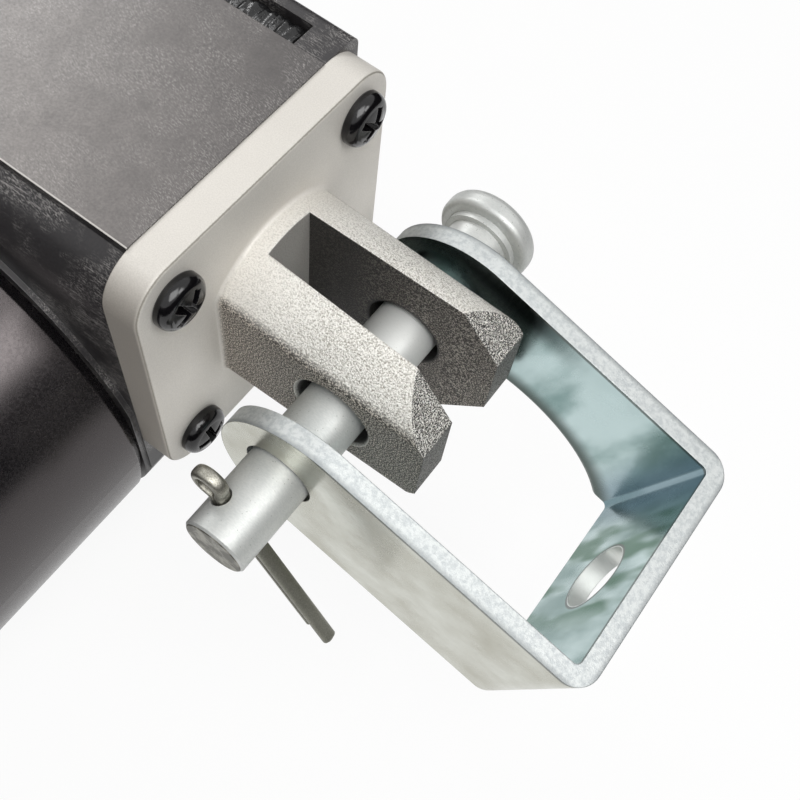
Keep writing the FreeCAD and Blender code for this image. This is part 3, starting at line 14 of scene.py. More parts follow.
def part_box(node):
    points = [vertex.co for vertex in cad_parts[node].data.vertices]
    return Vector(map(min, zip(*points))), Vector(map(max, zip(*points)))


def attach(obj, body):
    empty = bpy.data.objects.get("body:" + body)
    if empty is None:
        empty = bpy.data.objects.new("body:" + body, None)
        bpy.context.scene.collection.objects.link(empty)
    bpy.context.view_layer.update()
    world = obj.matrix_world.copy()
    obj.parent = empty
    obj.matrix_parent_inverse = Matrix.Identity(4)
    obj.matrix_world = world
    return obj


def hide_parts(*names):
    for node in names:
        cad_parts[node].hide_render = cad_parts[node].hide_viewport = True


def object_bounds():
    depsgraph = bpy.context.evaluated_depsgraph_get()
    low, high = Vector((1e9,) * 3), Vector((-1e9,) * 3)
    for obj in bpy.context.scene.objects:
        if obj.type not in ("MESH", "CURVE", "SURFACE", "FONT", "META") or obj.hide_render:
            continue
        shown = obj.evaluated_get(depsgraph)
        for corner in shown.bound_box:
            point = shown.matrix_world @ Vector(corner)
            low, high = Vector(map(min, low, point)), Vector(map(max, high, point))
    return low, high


bl_info = {
    "name": "Linear Actuator",
    "version": (1, 0, 0),
    "blender": (4, 5, 0),
    "location": "View3D > Sidebar > Actuator",
    "description": "Finishes and fine pieces of an electric linear actuator",
    "category": "Object",
}

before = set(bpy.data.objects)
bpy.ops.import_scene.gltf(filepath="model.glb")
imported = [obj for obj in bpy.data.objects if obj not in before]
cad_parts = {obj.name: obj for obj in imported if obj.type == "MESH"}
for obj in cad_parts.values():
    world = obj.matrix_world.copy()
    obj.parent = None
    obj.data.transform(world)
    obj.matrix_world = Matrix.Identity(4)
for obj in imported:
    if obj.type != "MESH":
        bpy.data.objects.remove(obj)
SOLID_BOX = [list(corner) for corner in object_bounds()]
MM = 0.001
# Nearest and farthest that the camera draws, in metres
CLIP = 0.005, 20.0
# Edges that turn by more than this stay sharp
SHARP = math.radians(35)
# Setting of a Map Range node that eases in and out
SMOOTH = {"interpolation_type": "SMOOTHSTEP"}


def linear(text):
    """Linear RGB of an sRGB hex colour."""
    parts = [int(text[i:i + 2], 16) / 255 for i in (1, 3, 5)]
    return [p / 12.92 if p <= 0.04045 else ((p + 0.055) / 1.055) ** 2.4 for p in parts]


def colour(words, text):
    """A colour property with an sRGB hex default."""
    return FloatVectorProperty(name=words, description="Colour of the " + words.lower(), subtype="COLOR",
                               default=linear(text), min=0, max=1)


def length(words, millimetres):
    """A length property with a default in millimetres."""
    return FloatProperty(name=words, description="Length of the " + words.lower(), unit="LENGTH",
                         default=millimetres * MM, min=0)


def angle(words, degrees):
    """An angle property with a default in degrees."""
    return FloatProperty(name=words, description="Angle of the " + words.lower(), subtype="ANGLE",
                         default=math.radians(degrees))


def spot(words, metres):
    """A place property with a default in metres."""
    return FloatVectorProperty(name=words, description="Place of the " + words.lower(), subtype="TRANSLATION",
                               default=metres)


def power(words, watts):
    """A light's power property with a default in watts."""
    return FloatProperty(name=words, description="Power of the " + words.lower(), unit="POWER",
                         default=watts, min=0)


class ActuatorSizes(PropertyGroup):
    """Sizes of the pieces and finishes that are made here; places come from the solid parts."""

    head: length("Screw head diameter", 6.8)
    head_height: length("Screw head height", 2.4)
    bolt_head: length("Motor bolt head height", 2.5)
    head_dome: length("Screw head's dome", 0.4)
    head_round: length("Screw head's rounded rim", 1.2)
    cross_span: length("Cross recess span", 4.4)
    cross_arm: length("Cross recess arm width", 0.95)
    cross_depth: length("Cross recess depth", 1.7)
    shank: length("Screw shank diameter", 4.0)
    bolt_shank: length("Motor bolt diameter", 3.8)
    cotter_wire: length("Cotter's diameter over both legs", 1.9)
    cotter_slit: length("Gap between the cotter's legs", 0.24)
    cotter_step: length("Step between the cotter's tips", 3.6)
    cotter_eye: length("Cotter eye's inner diameter", 2.4)
    cotter_eye_wire: length("Wire thickness round the cotter's eye", 1.0)
    cotter_eye_at: length("Cotter eye's middle from the pin's axis", 6.4)
    cotter_tip: length("Cotter tip from the pin's axis", 23.7)
    cotter_turn: angle("Cotter's lean about the pin", 32.9)
    channel_from: length("Channel's distance from the housing's rear", 4.55)
    channel_middle: length("Channel's middle from the spindle", 16.65)
    channel_half: length("Channel's half width", 1.8)
    channel_floor: length("Channel floor's height above the spindle", 18.52)
    potting: length("Potting compound's height in the channel", 1.75)
    spring_wire: length("Brush spring wire diameter", 0.5)
    spring_coils: IntProperty(name="Brush spring coils", description="Coils in a brush spring", default=6,
                              min=2)
    lead: length("Lead of the screw's thread", 3.0)
    thread: length("Depth of the screw's thread", 1.5)
    screw: length("Radius of the lead screw", 6.0)
    screw_journal: length("Radius of the lead screw's rear journal", 5.0)
    screw_groove: length("Radius of the lead screw's ring groove", 5.4)
    screw_collar: length("Radius of the lead screw's collar", 8.6)
    screw_point: length("Radius of the lead screw's point", 4.4)
    fork_root: length("Fork's root from the pin's axis", 15.9)
    fork_end: length("Fork's bevelled ends from the pin's axis", 3.0)
    slot_half: length("Slot's half width", 4.6)
    slot_end: length("Slot's floor from the pin's axis", 15.0)
    fork_hole: length("Radius of the fork's hole for the pin", 4.9)
    flat_top: length("Raised flat's height above the spindle", 21.1)
    flat_edge: length("Raised flat's near edge from the spindle", 16.44)
    strip: length("Bracket strip's thickness", 2.4)
    strip_reach: length("Bracket's base from the pin's axis", 38.6)
    strip_drop: angle("Bracket's drop below level", 17.6)
    strip_edge: length("Bracket strip's edge from its middle", 11.75)
    hollow: length("Radius of the hollow in the bracket's far arm", 21.2)
    hollow_back: length("Hollow's middle behind the pin's axis", 17.5)
    hollow_down: length("Hollow's middle below the pin's axis", 26.2)
    base_ring: length("Radius of the punch ring round the base hole", 4.85)


class ActuatorColours(PropertyGroup):
    """Colours of the finishes."""

    casting: colour("Casting", "#DBD7D0")
    casting_shade: colour("Casting's shade", "#CDC9C2")
    casting_fork: colour("Casting's bright fork", "#FFFDF7")
    # Painted shade in the casting's pits
    casting_pit_shade: colour("Casting's painted shade in its pits", "#979289")
    casting_edge: colour("Casting's edge lines", "#8A857B")
    # Painted shade round the fork's root and on the plate's near side
    casting_painted_shade: colour("Casting's painted warm shade round the fork's root", "#B3ACA5")
    # Painted shade on the fork's side flats, and painted glints on their grains
    casting_flat_shade: colour("Casting's painted shade on its side flats", "#382F28")
    casting_fleck_glint: colour("Casting's painted glints on the grains of its flats", "#E3D9CC")
    # As-cast ends, and painted shade on the faces below the bevels
    casting_as_cast_and_shade: colour("Casting's as-cast ends and painted shade below them", "#2B2A28")
    # Dark cast skin and painted shade on the slot walls
    casting_slot_skin_and_shade: colour("Casting's slot walls and their painted shade", "#31302E")
    # Painted shade inside the pin's hole
    casting_hole_shade: colour("Casting's painted shade inside the pin's hole", "#1F1E1D")
    housing: colour("Housing", "#232123")
    housing_scuff: colour("Housing's scuffs", "#302E2F")
    # Dust and painted sheen on the housing's top
    housing_dust_and_sheen: colour("Housing's dust and painted sheen on its top", "#8B8683")
    housing_scratch: colour("Housing's scratches", "#B2AEAB")
    # Painted highlight on the raised flat's near edge
    housing_edge_highlight: colour("Housing's painted highlight on the flat's edge", "#D2CEC9")
    potting: colour("Potting compound", "#121213")
    motor: colour("Motor paint", "#0F0E10")
    motor_scuff: colour("Motor paint's scuffs", "#171618")
    zinc: colour("Zinc plate", "#CDCFC6")
    zinc_cloud: colour("Zinc plate's clouds", "#ABA99A")
    zinc_tint: colour("Zinc plate's blue-green tint", "#BFD5D6")
    zinc_deep: colour("Zinc plate's deep blue-green clouds", "#6E908F")
    zinc_green: colour("Zinc plate's green patches", "#005F47")
    zinc_blue: colour("Zinc plate's blue in the bend", "#7893A3")
    # Painted dark reflection and shade by the far ear
    zinc_dark_reflection: colour("Zinc plate's painted dark reflection by the far ear", "#12191B")
    # Painted dark reflection on the hollow's rolled edge
    zinc_roll_reflection: colour("Zinc plate's painted dark reflection on the hollow's rolled edge", "#46524D")
    zinc_cut: colour("Zinc plate on cut edges", "#C3C6C5")
    zinc_pit: colour("Zinc plate's pits on cut edges", "#AEB2B3")
    # Painted shade on the cut edges' rounded border
    zinc_border_shade: colour("Zinc plate's painted shade on the cut edges' rounded border", "#85898A")
    zinc_line: colour("Zinc plate's dark edge lines", "#565C59")
    zinc_hole: colour("Zinc plate inside the base hole", "#DADDDA")
    pin: colour("Pin's zinc", "#D0D1CE")
    # Painted light on the pin between the prongs
    pin_painted_light: colour("Pin's painted light between the prongs", "#F4F5F2")
    # Sheared end, its dark tone partly painted shade
    pin_end_and_shade: colour("Pin's sheared end and painted shade", "#5F5D54")
    pin_torn: colour("Pin's torn patches on its end", "#A6A49A")
    oxide: colour("Screws' black oxide", "#0F0E10")
    cotter: colour("Cotter", "#B3B1A7")
    # Painted shade on the cotter's legs
    cotter_leg_shade: colour("Cotter's painted shade on its legs", "#6E6F64")
    tube: colour("Tube", "#B4B5B7")
    chrome: colour("Rod's chrome", "#D2D4D6")
    steel: colour("Ground steel", "#B3B3B3")
    bronze: colour("Bronze", "#A9793F")
    rubber: colour("Rubber", "#1B1B1C")
    cap: colour("Cap's plastic", "#1F1F21")
    nut: colour("Nut's plastic", "#E4DFCF")
    board: colour("Circuit board", "#1E5A33")
    ferrite: colour("Ferrite", "#3B3A3A")
    copper: colour("Copper", "#B4683D")
    core: colour("Core sheet", "#6C6B6A")
    carbon: colour("Carbon", "#2A2A2B")


class ActuatorStage(PropertyGroup):
    """Camera, light and floor."""

    eye: spot("Camera", (-0.03083, 0.05398, 0.11255))
    right: FloatVectorProperty(name="Camera's right", description="Direction to the picture's right",
                               subtype="DIRECTION", default=(-0.8023, -0.5912, 0.0821))
    ahead: FloatVectorProperty(name="Camera's view", description="Direction that the camera looks in",
                               subtype="DIRECTION", default=(0.2040, -0.4009, -0.8931))
    focal: FloatProperty(name="Focal length", description="Focal length of the camera's lens", default=49.41,
                         unit="CAMERA")
    sensor: FloatProperty(name="Sensor", description="Width of the camera's sensor", default=36.0,
                          unit="CAMERA")
    floor_gap: length("Gap between part and floor", 0.3)
    floor_half: length("Floor's half side", 3000)
    glow: FloatProperty(name="Paper's white", description="Share of the paper that is white to the eye",
                        default=0.9)
    key: power("Large soft light", 3.1)
    key_at: spot("Large soft light", (-0.24, 0.16, 0.56))
    key_size: length("Large soft light's side", 450)
    rim: power("Small soft light", 1.4)
    rim_at: spot("Small soft light", (-0.57, -0.17, 0.58))
    rim_size: length("Small soft light's side", 300)
    back: power("Soft light in front", 2.0)
    back_at: spot("Soft light in front", (0.62, -0.28, 0.42))
    back_size: length("Front light's side", 300)
    fill: FloatProperty(name="Fill light", description="Strength of the even light from all round",
                        default=0.2)
    cards: length("Dark cards' radius", 300)
    cards_at: spot("Dark cards' middle", (0.116, 0.04, 0.0))
    cards_height: length("Dark cards' height", 160)


def groups():
    """The scene's three property groups."""
    scene = bpy.context.scene
    return scene.actuator_sizes, scene.actuator_colours, scene.actuator_stage


def per_mm(size):
    """Texture scale whose features are this many millimetres wide, on coordinates in metres."""
    return 1 / (size * MM)


def add(tree, kind, links=None, **settings):
    """Adds one node and gives its first live output. Links are sockets or constants for its inputs, settings
    are its own values."""
    made = tree.nodes.new("ShaderNode" + kind)
    for key, value in settings.items():
        setattr(made, key, value)
    for key, value in (links or {}).items():
        if isinstance(value, bpy.types.NodeSocket):
            tree.links.new(value, made.inputs[key])
        else:
            made.inputs[key].default_value = value
    return next((output for output in made.outputs if output.enabled), None)


def emptied(made):
    """Empties the nodes of a material or a world and gives the function that adds new ones."""
    made.use_nodes = True
    made.node_tree.nodes.clear()
    return partial(add, made.node_tree)


def reopened(material):
    """For more work on a finish: the function that adds nodes, its nodes by name and its tone so far."""
    nodes = material.node_tree.nodes
    return partial(add, material.node_tree), nodes, nodes["skin"].inputs["Base Color"].links[0].from_socket


def link(value, node, key):
    """Links a socket to a node's input."""
    node.id_data.links.new(value, node.inputs[key])


def rgba(colour_values):
    """A colour with full opacity."""
    return (*colour_values, 1.0)


def finish(name, base, shade, roughness, grain, relief, patch, metallic=0.0, lines=(1, 1, 1), cloudy=0.3,
           spread=0.12, edge=None, edge_width=0.25, speck=None, **shader):
    """One finish. Base and shade are its two tones; cloudy is the share of patches (mm) beside grains (mm) in
    their mix. Relief (mm) is the height of the grain, lines stretch the grain along drawn or turned marks,
    spread is how far the roughness varies, edge is the colour of edges and edge_width (mm) the rounding that
    light finds on them. Speck is the colour, width (mm) and share of scattered flecks. Further values go
    straight on the shader's own sockets."""
    material = bpy.data.materials.new(name)
    put = emptied(material)
    place = put("TexCoord", name="place").node.outputs["Object"]
    stretched = put("Mapping", {"Vector": place, "Scale": lines})
    grains = put("TexNoise", {
        "Vector": stretched, "Scale": per_mm(grain), "Detail": 3.0, "Roughness": 0.6}, name="grains")
    patches = put("TexNoise", {
        "Vector": place, "Scale": per_mm(patch), "Detail": 4.0, "Roughness": 0.55}, name="patches")
    contrast = put("MapRange", {"Value": grains, "From Min": 0.32, "From Max": 0.68}, **SMOOTH)
    mottle = put("MapRange", {"Value": patches, "From Min": 0.3, "From Max": 0.7})
    share = put("Mix", {0: cloudy, 2: contrast, 3: mottle}, data_type="FLOAT")
    tone = put("Mix", {0: share, 6: rgba(shade), 7: rgba(base)}, data_type="RGBA")
    if speck:
        fleck_colour, fleck_width, fleck_share = speck
        cells = put("TexVoronoi", {"Vector": place, "Scale": per_mm(fleck_width * 2.2)}).node.outputs
        near = put("MapRange", {"Value": cells["Distance"], "From Min": 0.26, "From Max": 0.16})
        some = put("SeparateColor", {0: cells["Color"]})
        chosen = put("Math", {0: some, 1: fleck_share}, operation="LESS_THAN")
        fleck = put("Math", {0: near, 1: chosen}, operation="MULTIPLY")
        tone = put("Mix", {0: fleck, 6: tone, 7: rgba(fleck_colour)}, data_type="RGBA")
    soft = put("Bevel", {"Radius": edge_width * MM}, name="soft", samples=6)
    if edge:
        hard = put("NewGeometry").node.outputs["Normal"]
        turned = put("VectorMath", {0: soft, 1: hard}, operation="DOT_PRODUCT")
        ragged = put("Math", {0: grains, 1: 0.16, 2: turned}, operation="MULTIPLY_ADD")
        border = put("MapRange", {"Value": ragged, "From Min": 1.0, "From Max": 0.86, "To Max": 0.85})
        tone = put("Mix", {0: border, 6: tone, 7: rgba(edge)}, data_type="RGBA")
    gloss = put("MapRange", {
        "Value": share, "To Min": roughness + spread / 2, "To Max": roughness - spread / 2})
    bumped = put("Bump", {
        "Height": grains, "Normal": soft, "Strength": 1.0, "Distance": relief * MM}, name="relief")
    skin = put("BsdfPrincipled", {
        "Base Color": tone, "Metallic": metallic, "Roughness": gloss, "Normal": bumped,
        **shader}, name="skin")
    put("OutputMaterial", {"Surface": skin})
    return material


def dress(names, material):
    """Gives solid parts a finish in their own material slots."""
    for name in names:
        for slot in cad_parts[name].material_slots:
            slot.material = material


def shell(rings, capped=True):
    """Points, four-sided faces and end triangles of a skin over rings of points, each ring closed on itself.
    Capped ends run to the middle of their ring. The faces are turned so that the enclosed volume is
    positive."""
    rows, around = rings.shape[:2]
    points = rings.reshape(-1, 3)
    here = np.arange(rows * around).reshape(rows, around)
    beside = np.roll(here, -1, 1)
    quads = np.stack([here[:-1], beside[:-1], beside[1:], here[1:]], -1).reshape(-1, 4)
    fans = np.empty((0, 3), int)
    if capped:
        first = np.stack([beside[0], here[0], np.full(around, len(points))], -1)
        last = np.stack([here[-1], beside[-1], np.full(around, len(points) + 1)], -1)
        fans = np.vstack([first, last])
        points = np.vstack([points, rings[[0, -1]].mean(1)])
    corners = np.vstack([quads[:, [0, 1, 2]], quads[:, [0, 2, 3]], fans])
    a, b, c = points[corners].transpose(1, 0, 2)
    if np.einsum("ij,ij->", a, np.cross(b, c)) < 0:
        quads, fans = quads[:, ::-1], fans[:, ::-1]
    return points, quads, fans


def joined(parts):
    """Several skins as one."""
    counts = np.cumsum([0] + [len(points) for points, _, _ in parts])
    return (np.vstack([points for points, _, _ in parts]),
            np.vstack([quads + count for (_, quads, _), count in zip(parts, counts)]),
            np.vstack([fans + count for (_, _, fans), count in zip(parts, counts)]))


def moved(part, matrix):
    """A skin carried by a matrix."""
    points, quads, fans = part
    turn = np.array(matrix.to_3x3())
    return points @ turn.T + np.array(matrix.translation), quads, fans


def object_of(name, part, material):
    """A mesh object at the origin with its place in its points."""
    points, quads, fans = part
    mesh = bpy.data.meshes.new(name)
    mesh.from_pydata(points.tolist(), [], quads.tolist() + fans.tolist())
    mesh.materials.append(material)
    made = bpy.data.objects.new(name, mesh)
    bpy.context.scene.collection.objects.link(made)
    return made


def piece(name, part, material, body, stands_for=None):
    """A piece that rides on a body, smooth but for its sharp edges."""
    made = object_of(name, part, material)
    made.data.shade_smooth()
    made.data.set_sharp_from_angle(angle=SHARP)
    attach(made, body)
    if stands_for:
        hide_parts(stands_for)
    return made


def cross_recess(across, up, span, arm, depth, wall=0.08 * MM):
    """Depth of a cross recess at points of a screw head. Each of two crossed arms is as deep as twice its
    distance from the arm's end, at most the full depth, inside its width; the deeper arm counts. The arms'
    sides fall over the wall's width."""
    deepest = np.zeros_like(across)
    for along, side in ((across, up), (up, across)):
        fall = np.clip(2 * (span / 2 - np.abs(along)), 0, depth)
        inside = np.clip((arm / 2 - np.abs(side)) / wall + 0.5, 0, 1)
        deepest = np.maximum(deepest, fall * inside)
    return deepest


def cross_screw(head, height, shank, reach, sizes, turn, around=176, rows=54, curve=14):
    """A pan-head screw along +Z, seated at 0. The top is a low dome z = height - dome (r/R)^2. Its rounded
    rim falls by 0.35 + 0.65 cos b while it goes out by sin b, with b up to a right angle. Then come the side,
    the seat and the shank down to -reach; the cross recess is taken off the dome."""
    pole, chamfer, side = 0.03 * MM, 0.15 * MM, 0.2 * MM
    radius = head / 2
    rim = radius - sizes.head_round
    top = np.linspace(pole, rim, rows)
    bow = np.linspace(0, math.pi / 2, curve)[1:]
    drop = height - sizes.head_dome
    across = np.concatenate([top, rim + sizes.head_round * np.sin(bow),
                             [radius, radius - chamfer, shank / 2, shank / 2]])
    up = np.concatenate([height - sizes.head_dome * (top / rim) ** 2, drop * (0.35 + 0.65 * np.cos(bow)),
                         [side, 0.0, 0.0, -reach]])
    round_axis = np.linspace(0, 2 * math.pi, around, endpoint=False)
    x = across[:, None] * np.cos(round_axis)
    y = across[:, None] * np.sin(round_axis)
    z = np.repeat(up[:, None], around, 1)
    c, s = math.cos(turn), math.sin(turn)
    sunk = cross_recess(c * x + s * y, c * y - s * x, sizes.cross_span, sizes.cross_arm, sizes.cross_depth)
    z[:rows] -= sunk[:rows]
    return shell(np.stack([x, y, z], -1))


def coil(start, end, centre, radius, wire, coils, rows=28, around=14):
    """A coiled spring along X. The wire's middle runs on x = start + (end - start) t, y = r cos a and
    z = r sin a, with a = 2 pi coils t and r = radius - wire / 2. Its round section stands across the run.
    Rows are counted for each coil."""
    t = np.linspace(0, 1, rows * coils + 1)
    a = 2 * math.pi * coils * t
    r = radius - wire / 2
    out = np.stack([np.zeros_like(a), np.cos(a), np.sin(a)], -1)
    path = np.array(centre) + r * out
    path[:, 0] = start + (end - start) * t
    pitch = np.full_like(a, (end - start) / (2 * math.pi * coils))
    step = np.stack([pitch, -r * np.sin(a), r * np.cos(a)], -1)
    beside = np.cross(step / np.linalg.norm(step, axis=1)[:, None], out)
    bow = np.linspace(0, 2 * math.pi, around, endpoint=False)[:, None]
    return shell(path[:, None] + wire / 2 * (np.cos(bow) * out[:, None] + np.sin(bow) * beside[:, None]))


def threaded_screw(steps, key, start, end, sizes, around=24):
    """A screw along X: plain steps, then a right-hand thread. For the turn a about X and
    p = (x - start) / lead - a / 2 pi the radius is R - depth f, with f = (0.625 - t) / 0.25 kept between 0
    and 1 and t = |2 frac(p) - 1|. The thread runs in over its first lead, and the point's cone cuts it. The
    key seat is a flat floor between two walls."""
    a = 2 * math.pi * np.arange(around) / around
    low, high = key
    seat = np.array([[high.y, 0], [high.y, low.z], [0, low.z], [low.y, low.z], [low.y, 0]])
    seat[[0, -1], 1] = math.sqrt(sizes.screw**2 - high.y**2)
    rings = []
    for x, r in steps:
        outer = r or sizes.screw
        ring = np.stack([np.full(around, x), outer * np.cos(a), outer * np.sin(a)], -1)
        if r is None:
            ring[around // 4 - 2:around // 4 + 3, 1:] = seat
        rings.append(ring)
    x = np.append(np.arange(start + sizes.lead / around / 2, end, sizes.lead / around), end)[:, None]
    t = np.abs(2 * (((x - start) / sizes.lead - a / (2 * math.pi)) % 1) - 1)
    depth = sizes.thread * np.clip((x - start) / sizes.lead, 0, 1)
    r = np.minimum(sizes.screw - depth * np.clip((0.625 - t) / 0.25, 0, 1), sizes.screw_point + end - x)
    rings = np.concatenate([rings, np.stack(np.broadcast_arrays(x, r * np.cos(a), r * np.sin(a)), -1)])
    points, quads, fans = shell(rings)
    # Each four-sided face is split along the thread; points that meet are one, and faces without area go.
    points, index = np.unique(np.round(points, 8), axis=0, return_inverse=True)
    faces = index.reshape(-1)[np.vstack([quads[:, :3], quads[:, [0, 2, 3]], fans])]
    faces = faces[(np.diff(np.sort(faces, 1), axis=1) > 0).all(1)]
    return points, np.empty((0, 4), int), faces


def cotter_side(tip, gap, inner, eye_at, rows=(80, 16, 28), start=math.radians(-52), pull=1.6):
    """Half of a cotter's flat path from its tip up: a straight leg, a bow out, then half of the eye, each
    with its own rows. The bow is a cubic from the leg's end to the eye's start angle, along both tangents,
    which are pull times the eye's radius long; the leg's points stand closer at its tip."""
    leg = -tip + (eye_at - 2 * inner + tip) * np.linspace(0, 1, rows[0]) ** 1.7
    straight = np.stack([np.full_like(leg, gap), leg], -1)
    t = np.linspace(0, 1, rows[1])[1:-1, None]
    p0 = straight[-1]
    p1 = np.array([inner * math.cos(start), eye_at + inner * math.sin(start)])
    m0 = np.array([0, pull * inner])
    m1 = pull * inner * np.array([-math.sin(start), math.cos(start)])
    bow = ((2 * t**3 - 3 * t**2 + 1) * p0 + (t**3 - 2 * t**2 + t) * m0 + (3 * t**2 - 2 * t**3) * p1
           + (t**3 - t**2) * m1)
    turn = np.linspace(start, math.pi / 2, rows[2])
    arc = np.stack([inner * np.cos(turn), eye_at + inner * np.sin(turn)], -1)
    return np.vstack([straight, bow, arc])


def bead(path, outward, width, height, normal, around=32):
    """A half-round bar carried along a flat path: its flat lies on the path, its round side points outward.
    Section for a from 0 to 2 pi: |cos a|^0.7 of the width across; outward 0.3 + 0.7 |sin a|^0.8 of the height
    on the round side, 0.3 - 0.3 |sin a|^0.5 on the flat side."""
    a = np.linspace(0, 2 * math.pi, around, endpoint=False)
    across = np.sign(np.cos(a)) * np.abs(np.cos(a)) ** 0.7
    bow = np.abs(np.sin(a))
    out = np.where(np.sin(a) > 0, 0.3 + 0.7 * bow**0.8, 0.3 - 0.3 * bow**0.5)
    return shell(path[:, None] + outward[:, None] * (height[:, None] * out)[..., None]
                 + normal * (width[:, None] * across)[..., None])


def potting_ridge(start, end, sizes, wave=0.05 * MM, ends=0.8 * MM, waves=12, rows=320, around=40):
    """A lumpy ridge along X. For a from 0 to 2 pi it stands |cos a|^0.6 of half the channel's width aside and
    max(sin a, 0)^0.55 of its height up. The lumps are seeded waves sin(pace x + twist a + phase), and both
    ends rise with the root of the distance passed."""
    along = np.linspace(start, end, rows)
    a = np.linspace(0, 2 * math.pi, around, endpoint=False)
    draws = np.random.default_rng(5)
    pace = draws.uniform(1, 7, waves) / MM
    twist = draws.integers(-3, 4, waves)
    phase = draws.uniform(0, 2 * math.pi, waves)
    lumps = np.sin(pace * along[:, None, None] + twist * a[:, None] + phase).sum(-1) * wave
    rise = np.sqrt(np.clip(np.minimum(along - start, end - along) / ends, 0.02, 1))[:, None]
    aside = -sizes.channel_middle + sizes.channel_half * np.sign(np.cos(a)) * np.abs(np.cos(a)) ** 0.6
    up = sizes.channel_floor + rise * np.clip(np.sin(a), 0, None) ** 0.55 * (sizes.potting + lumps)
    return shell(np.stack(np.broadcast_arrays(along[:, None], aside, up), -1))


def smooth_step(t):
    """3 t^2 - 2 t^3 between 0 and 1."""
    t = np.clip(t, 0, 1)
    return t * t * (3 - 2 * t)


class ACTUATOR_OT_clevis(Operator):
    """Finish of the cast fork and plate"""

    bl_idname = "actuator.clevis"
    bl_label = "Rear clevis"

    def execute(self, context):
        sizes, colours, _ = groups()
        # Zinc-aluminium die casting, shot-blasted: a dull warm grey with grains 0.15 mm wide on the plate and
        # 0.2 mm on the fork, and thin ragged lines along its edges.
        casting = finish(
            "shot_blasted_die_casting", colours.casting, colours.casting_shade, metallic=0.25, roughness=0.6,
            grain=0.15, relief=0.05, patch=9.0, spread=0.15, edge=colours.casting_edge, edge_width=0.2)
        put, nodes, tone = reopened(casting)
        place = nodes["place"].outputs
        grains = nodes["grains"].outputs["Fac"]
        at = put("SeparateXYZ", {0: place["Object"]}).node.outputs
        facing = put("SeparateXYZ", {0: place["Normal"]}).node.outputs
        fork = put("MapRange", {
            "Value": at["X"], "From Min": sizes.fork_root + 0.5 * MM, "From Max": sizes.fork_root - 0.5 * MM})
        # The fork is brighter than the plate; its side flats get painted shade, dark with painted glints on
        # bright grains.
        sideways = put("Math", {0: facing["Y"]}, operation="ABSOLUTE")
        sideways = put("MapRange", {"Value": sideways, "From Min": 0.7, "From Max": 0.97, "To Max": 0.9})
        flats = put("Math", {0: sideways, 1: fork}, operation="MULTIPLY")
        bright = put("Math", {0: fork, 1: 0.95}, operation="MULTIPLY")
        tone = put("Mix", {0: bright, 6: tone, 7: rgba(colours.casting_fork)}, data_type="RGBA")
        # Painted shade, warm in tone, lies round the fork's root and on the plate's near side, where shade
        # falls.
        round_root = put("VectorMath", {0: place["Object"], 1: (0, 1, 1)}, operation="MULTIPLY")
        round_root = put("VectorMath", {0: round_root}, operation="LENGTH")
        round_root = put("MapRange", {
            "Value": round_root, "From Min": 16 * MM, "From Max": 12 * MM, "To Max": 0.08}, **SMOOTH)
        near_side = put("MapRange", {"Value": facing["Y"], "From Min": 0.3, "From Max": 0.95, "To Max": 0.6})
        round_root = put("Math", {0: round_root, 1: near_side}, operation="MAXIMUM")
        along = put("MapRange", {
            "Value": at["X"], "From Min": 6 * MM, "From Max": 18 * MM, "To Max": 0.4}, **SMOOTH)
        warm = put("Mix", {0: fork, 2: round_root, 3: along}, data_type="FLOAT")
        tone = put("Mix", {
            0: warm, 6: tone, 7: rgba(colours.casting_painted_shade)}, data_type="RGBA", blend_type="MULTIPLY")
        # Painted shade on the side flats, with painted glints where grains stand up
        hammered = put("TexNoise", {
            "Vector": place["Object"], "Scale": per_mm(0.2), "Detail": 2.0, "Roughness": 0.6})
        flecks = put("MapRange", {"Value": hammered, "From Min": 0.48, "From Max": 0.61}, **SMOOTH)
        painted_flat_shade = put("Mix", {
            0: flecks, 6: rgba(colours.casting_flat_shade), 7: rgba(colours.casting_fleck_glint)}, data_type="RGBA")
        tone = put("Mix", {0: flats, 6: tone, 7: painted_flat_shade}, data_type="RGBA")
        # Painted shade darkens the pits between the fork's grains, fainter towards its root.
        pits = put("MapRange", {"Value": hammered, "From Min": 0.58, "From Max": 0.28})
        fainter = put("MapRange", {"Value": at["X"], "From Min": 14 * MM, "From Max": 3 * MM, "To Min": 0.4})
        fainter = put("Math", {0: fainter, 1: fork}, operation="MULTIPLY")
        pits = put("Math", {0: pits, 1: fainter}, operation="MULTIPLY")
        tone = put("Mix", {
            0: pits, 6: tone, 7: rgba(colours.casting_pit_shade)}, data_type="RGBA", blend_type="MULTIPLY")
        # The bevelled ends are as cast, coarse and dark; below the bevels, on faces that turn down, painted
        # shade makes them darker still.
        behind = put("MapRange", {
            "Value": at["X"], "From Min": sizes.fork_end + 1 * MM, "From Max": sizes.fork_end - 1 * MM})
        rear = put("MapRange", {"Value": facing["X"], "From Min": -0.2, "From Max": -0.45})
        tip = put("Math", {0: rear, 1: behind}, operation="MULTIPLY")
        coarse = put("TexNoise", {
            "Vector": place["Object"], "Scale": per_mm(0.15), "Detail": 2.0, "Roughness": 0.6})
        clumps = put("MapRange", {"Value": coarse, "From Min": 0.57, "From Max": 0.45}, **SMOOTH)
        # Painted shade on faces that turn down below the bevels
        lower = put("MapRange", {"Value": facing["Z"], "From Min": 0.55, "From Max": 0.1, "To Max": 0.7})
        clumps = put("Math", {0: clumps, 1: lower}, operation="MAXIMUM")
        dark = put("Math", {0: clumps, 1: tip}, operation="MULTIPLY")
        tone = put("Mix", {0: dark, 6: tone, 7: rgba(colours.casting_as_cast_and_shade)}, data_type="RGBA")
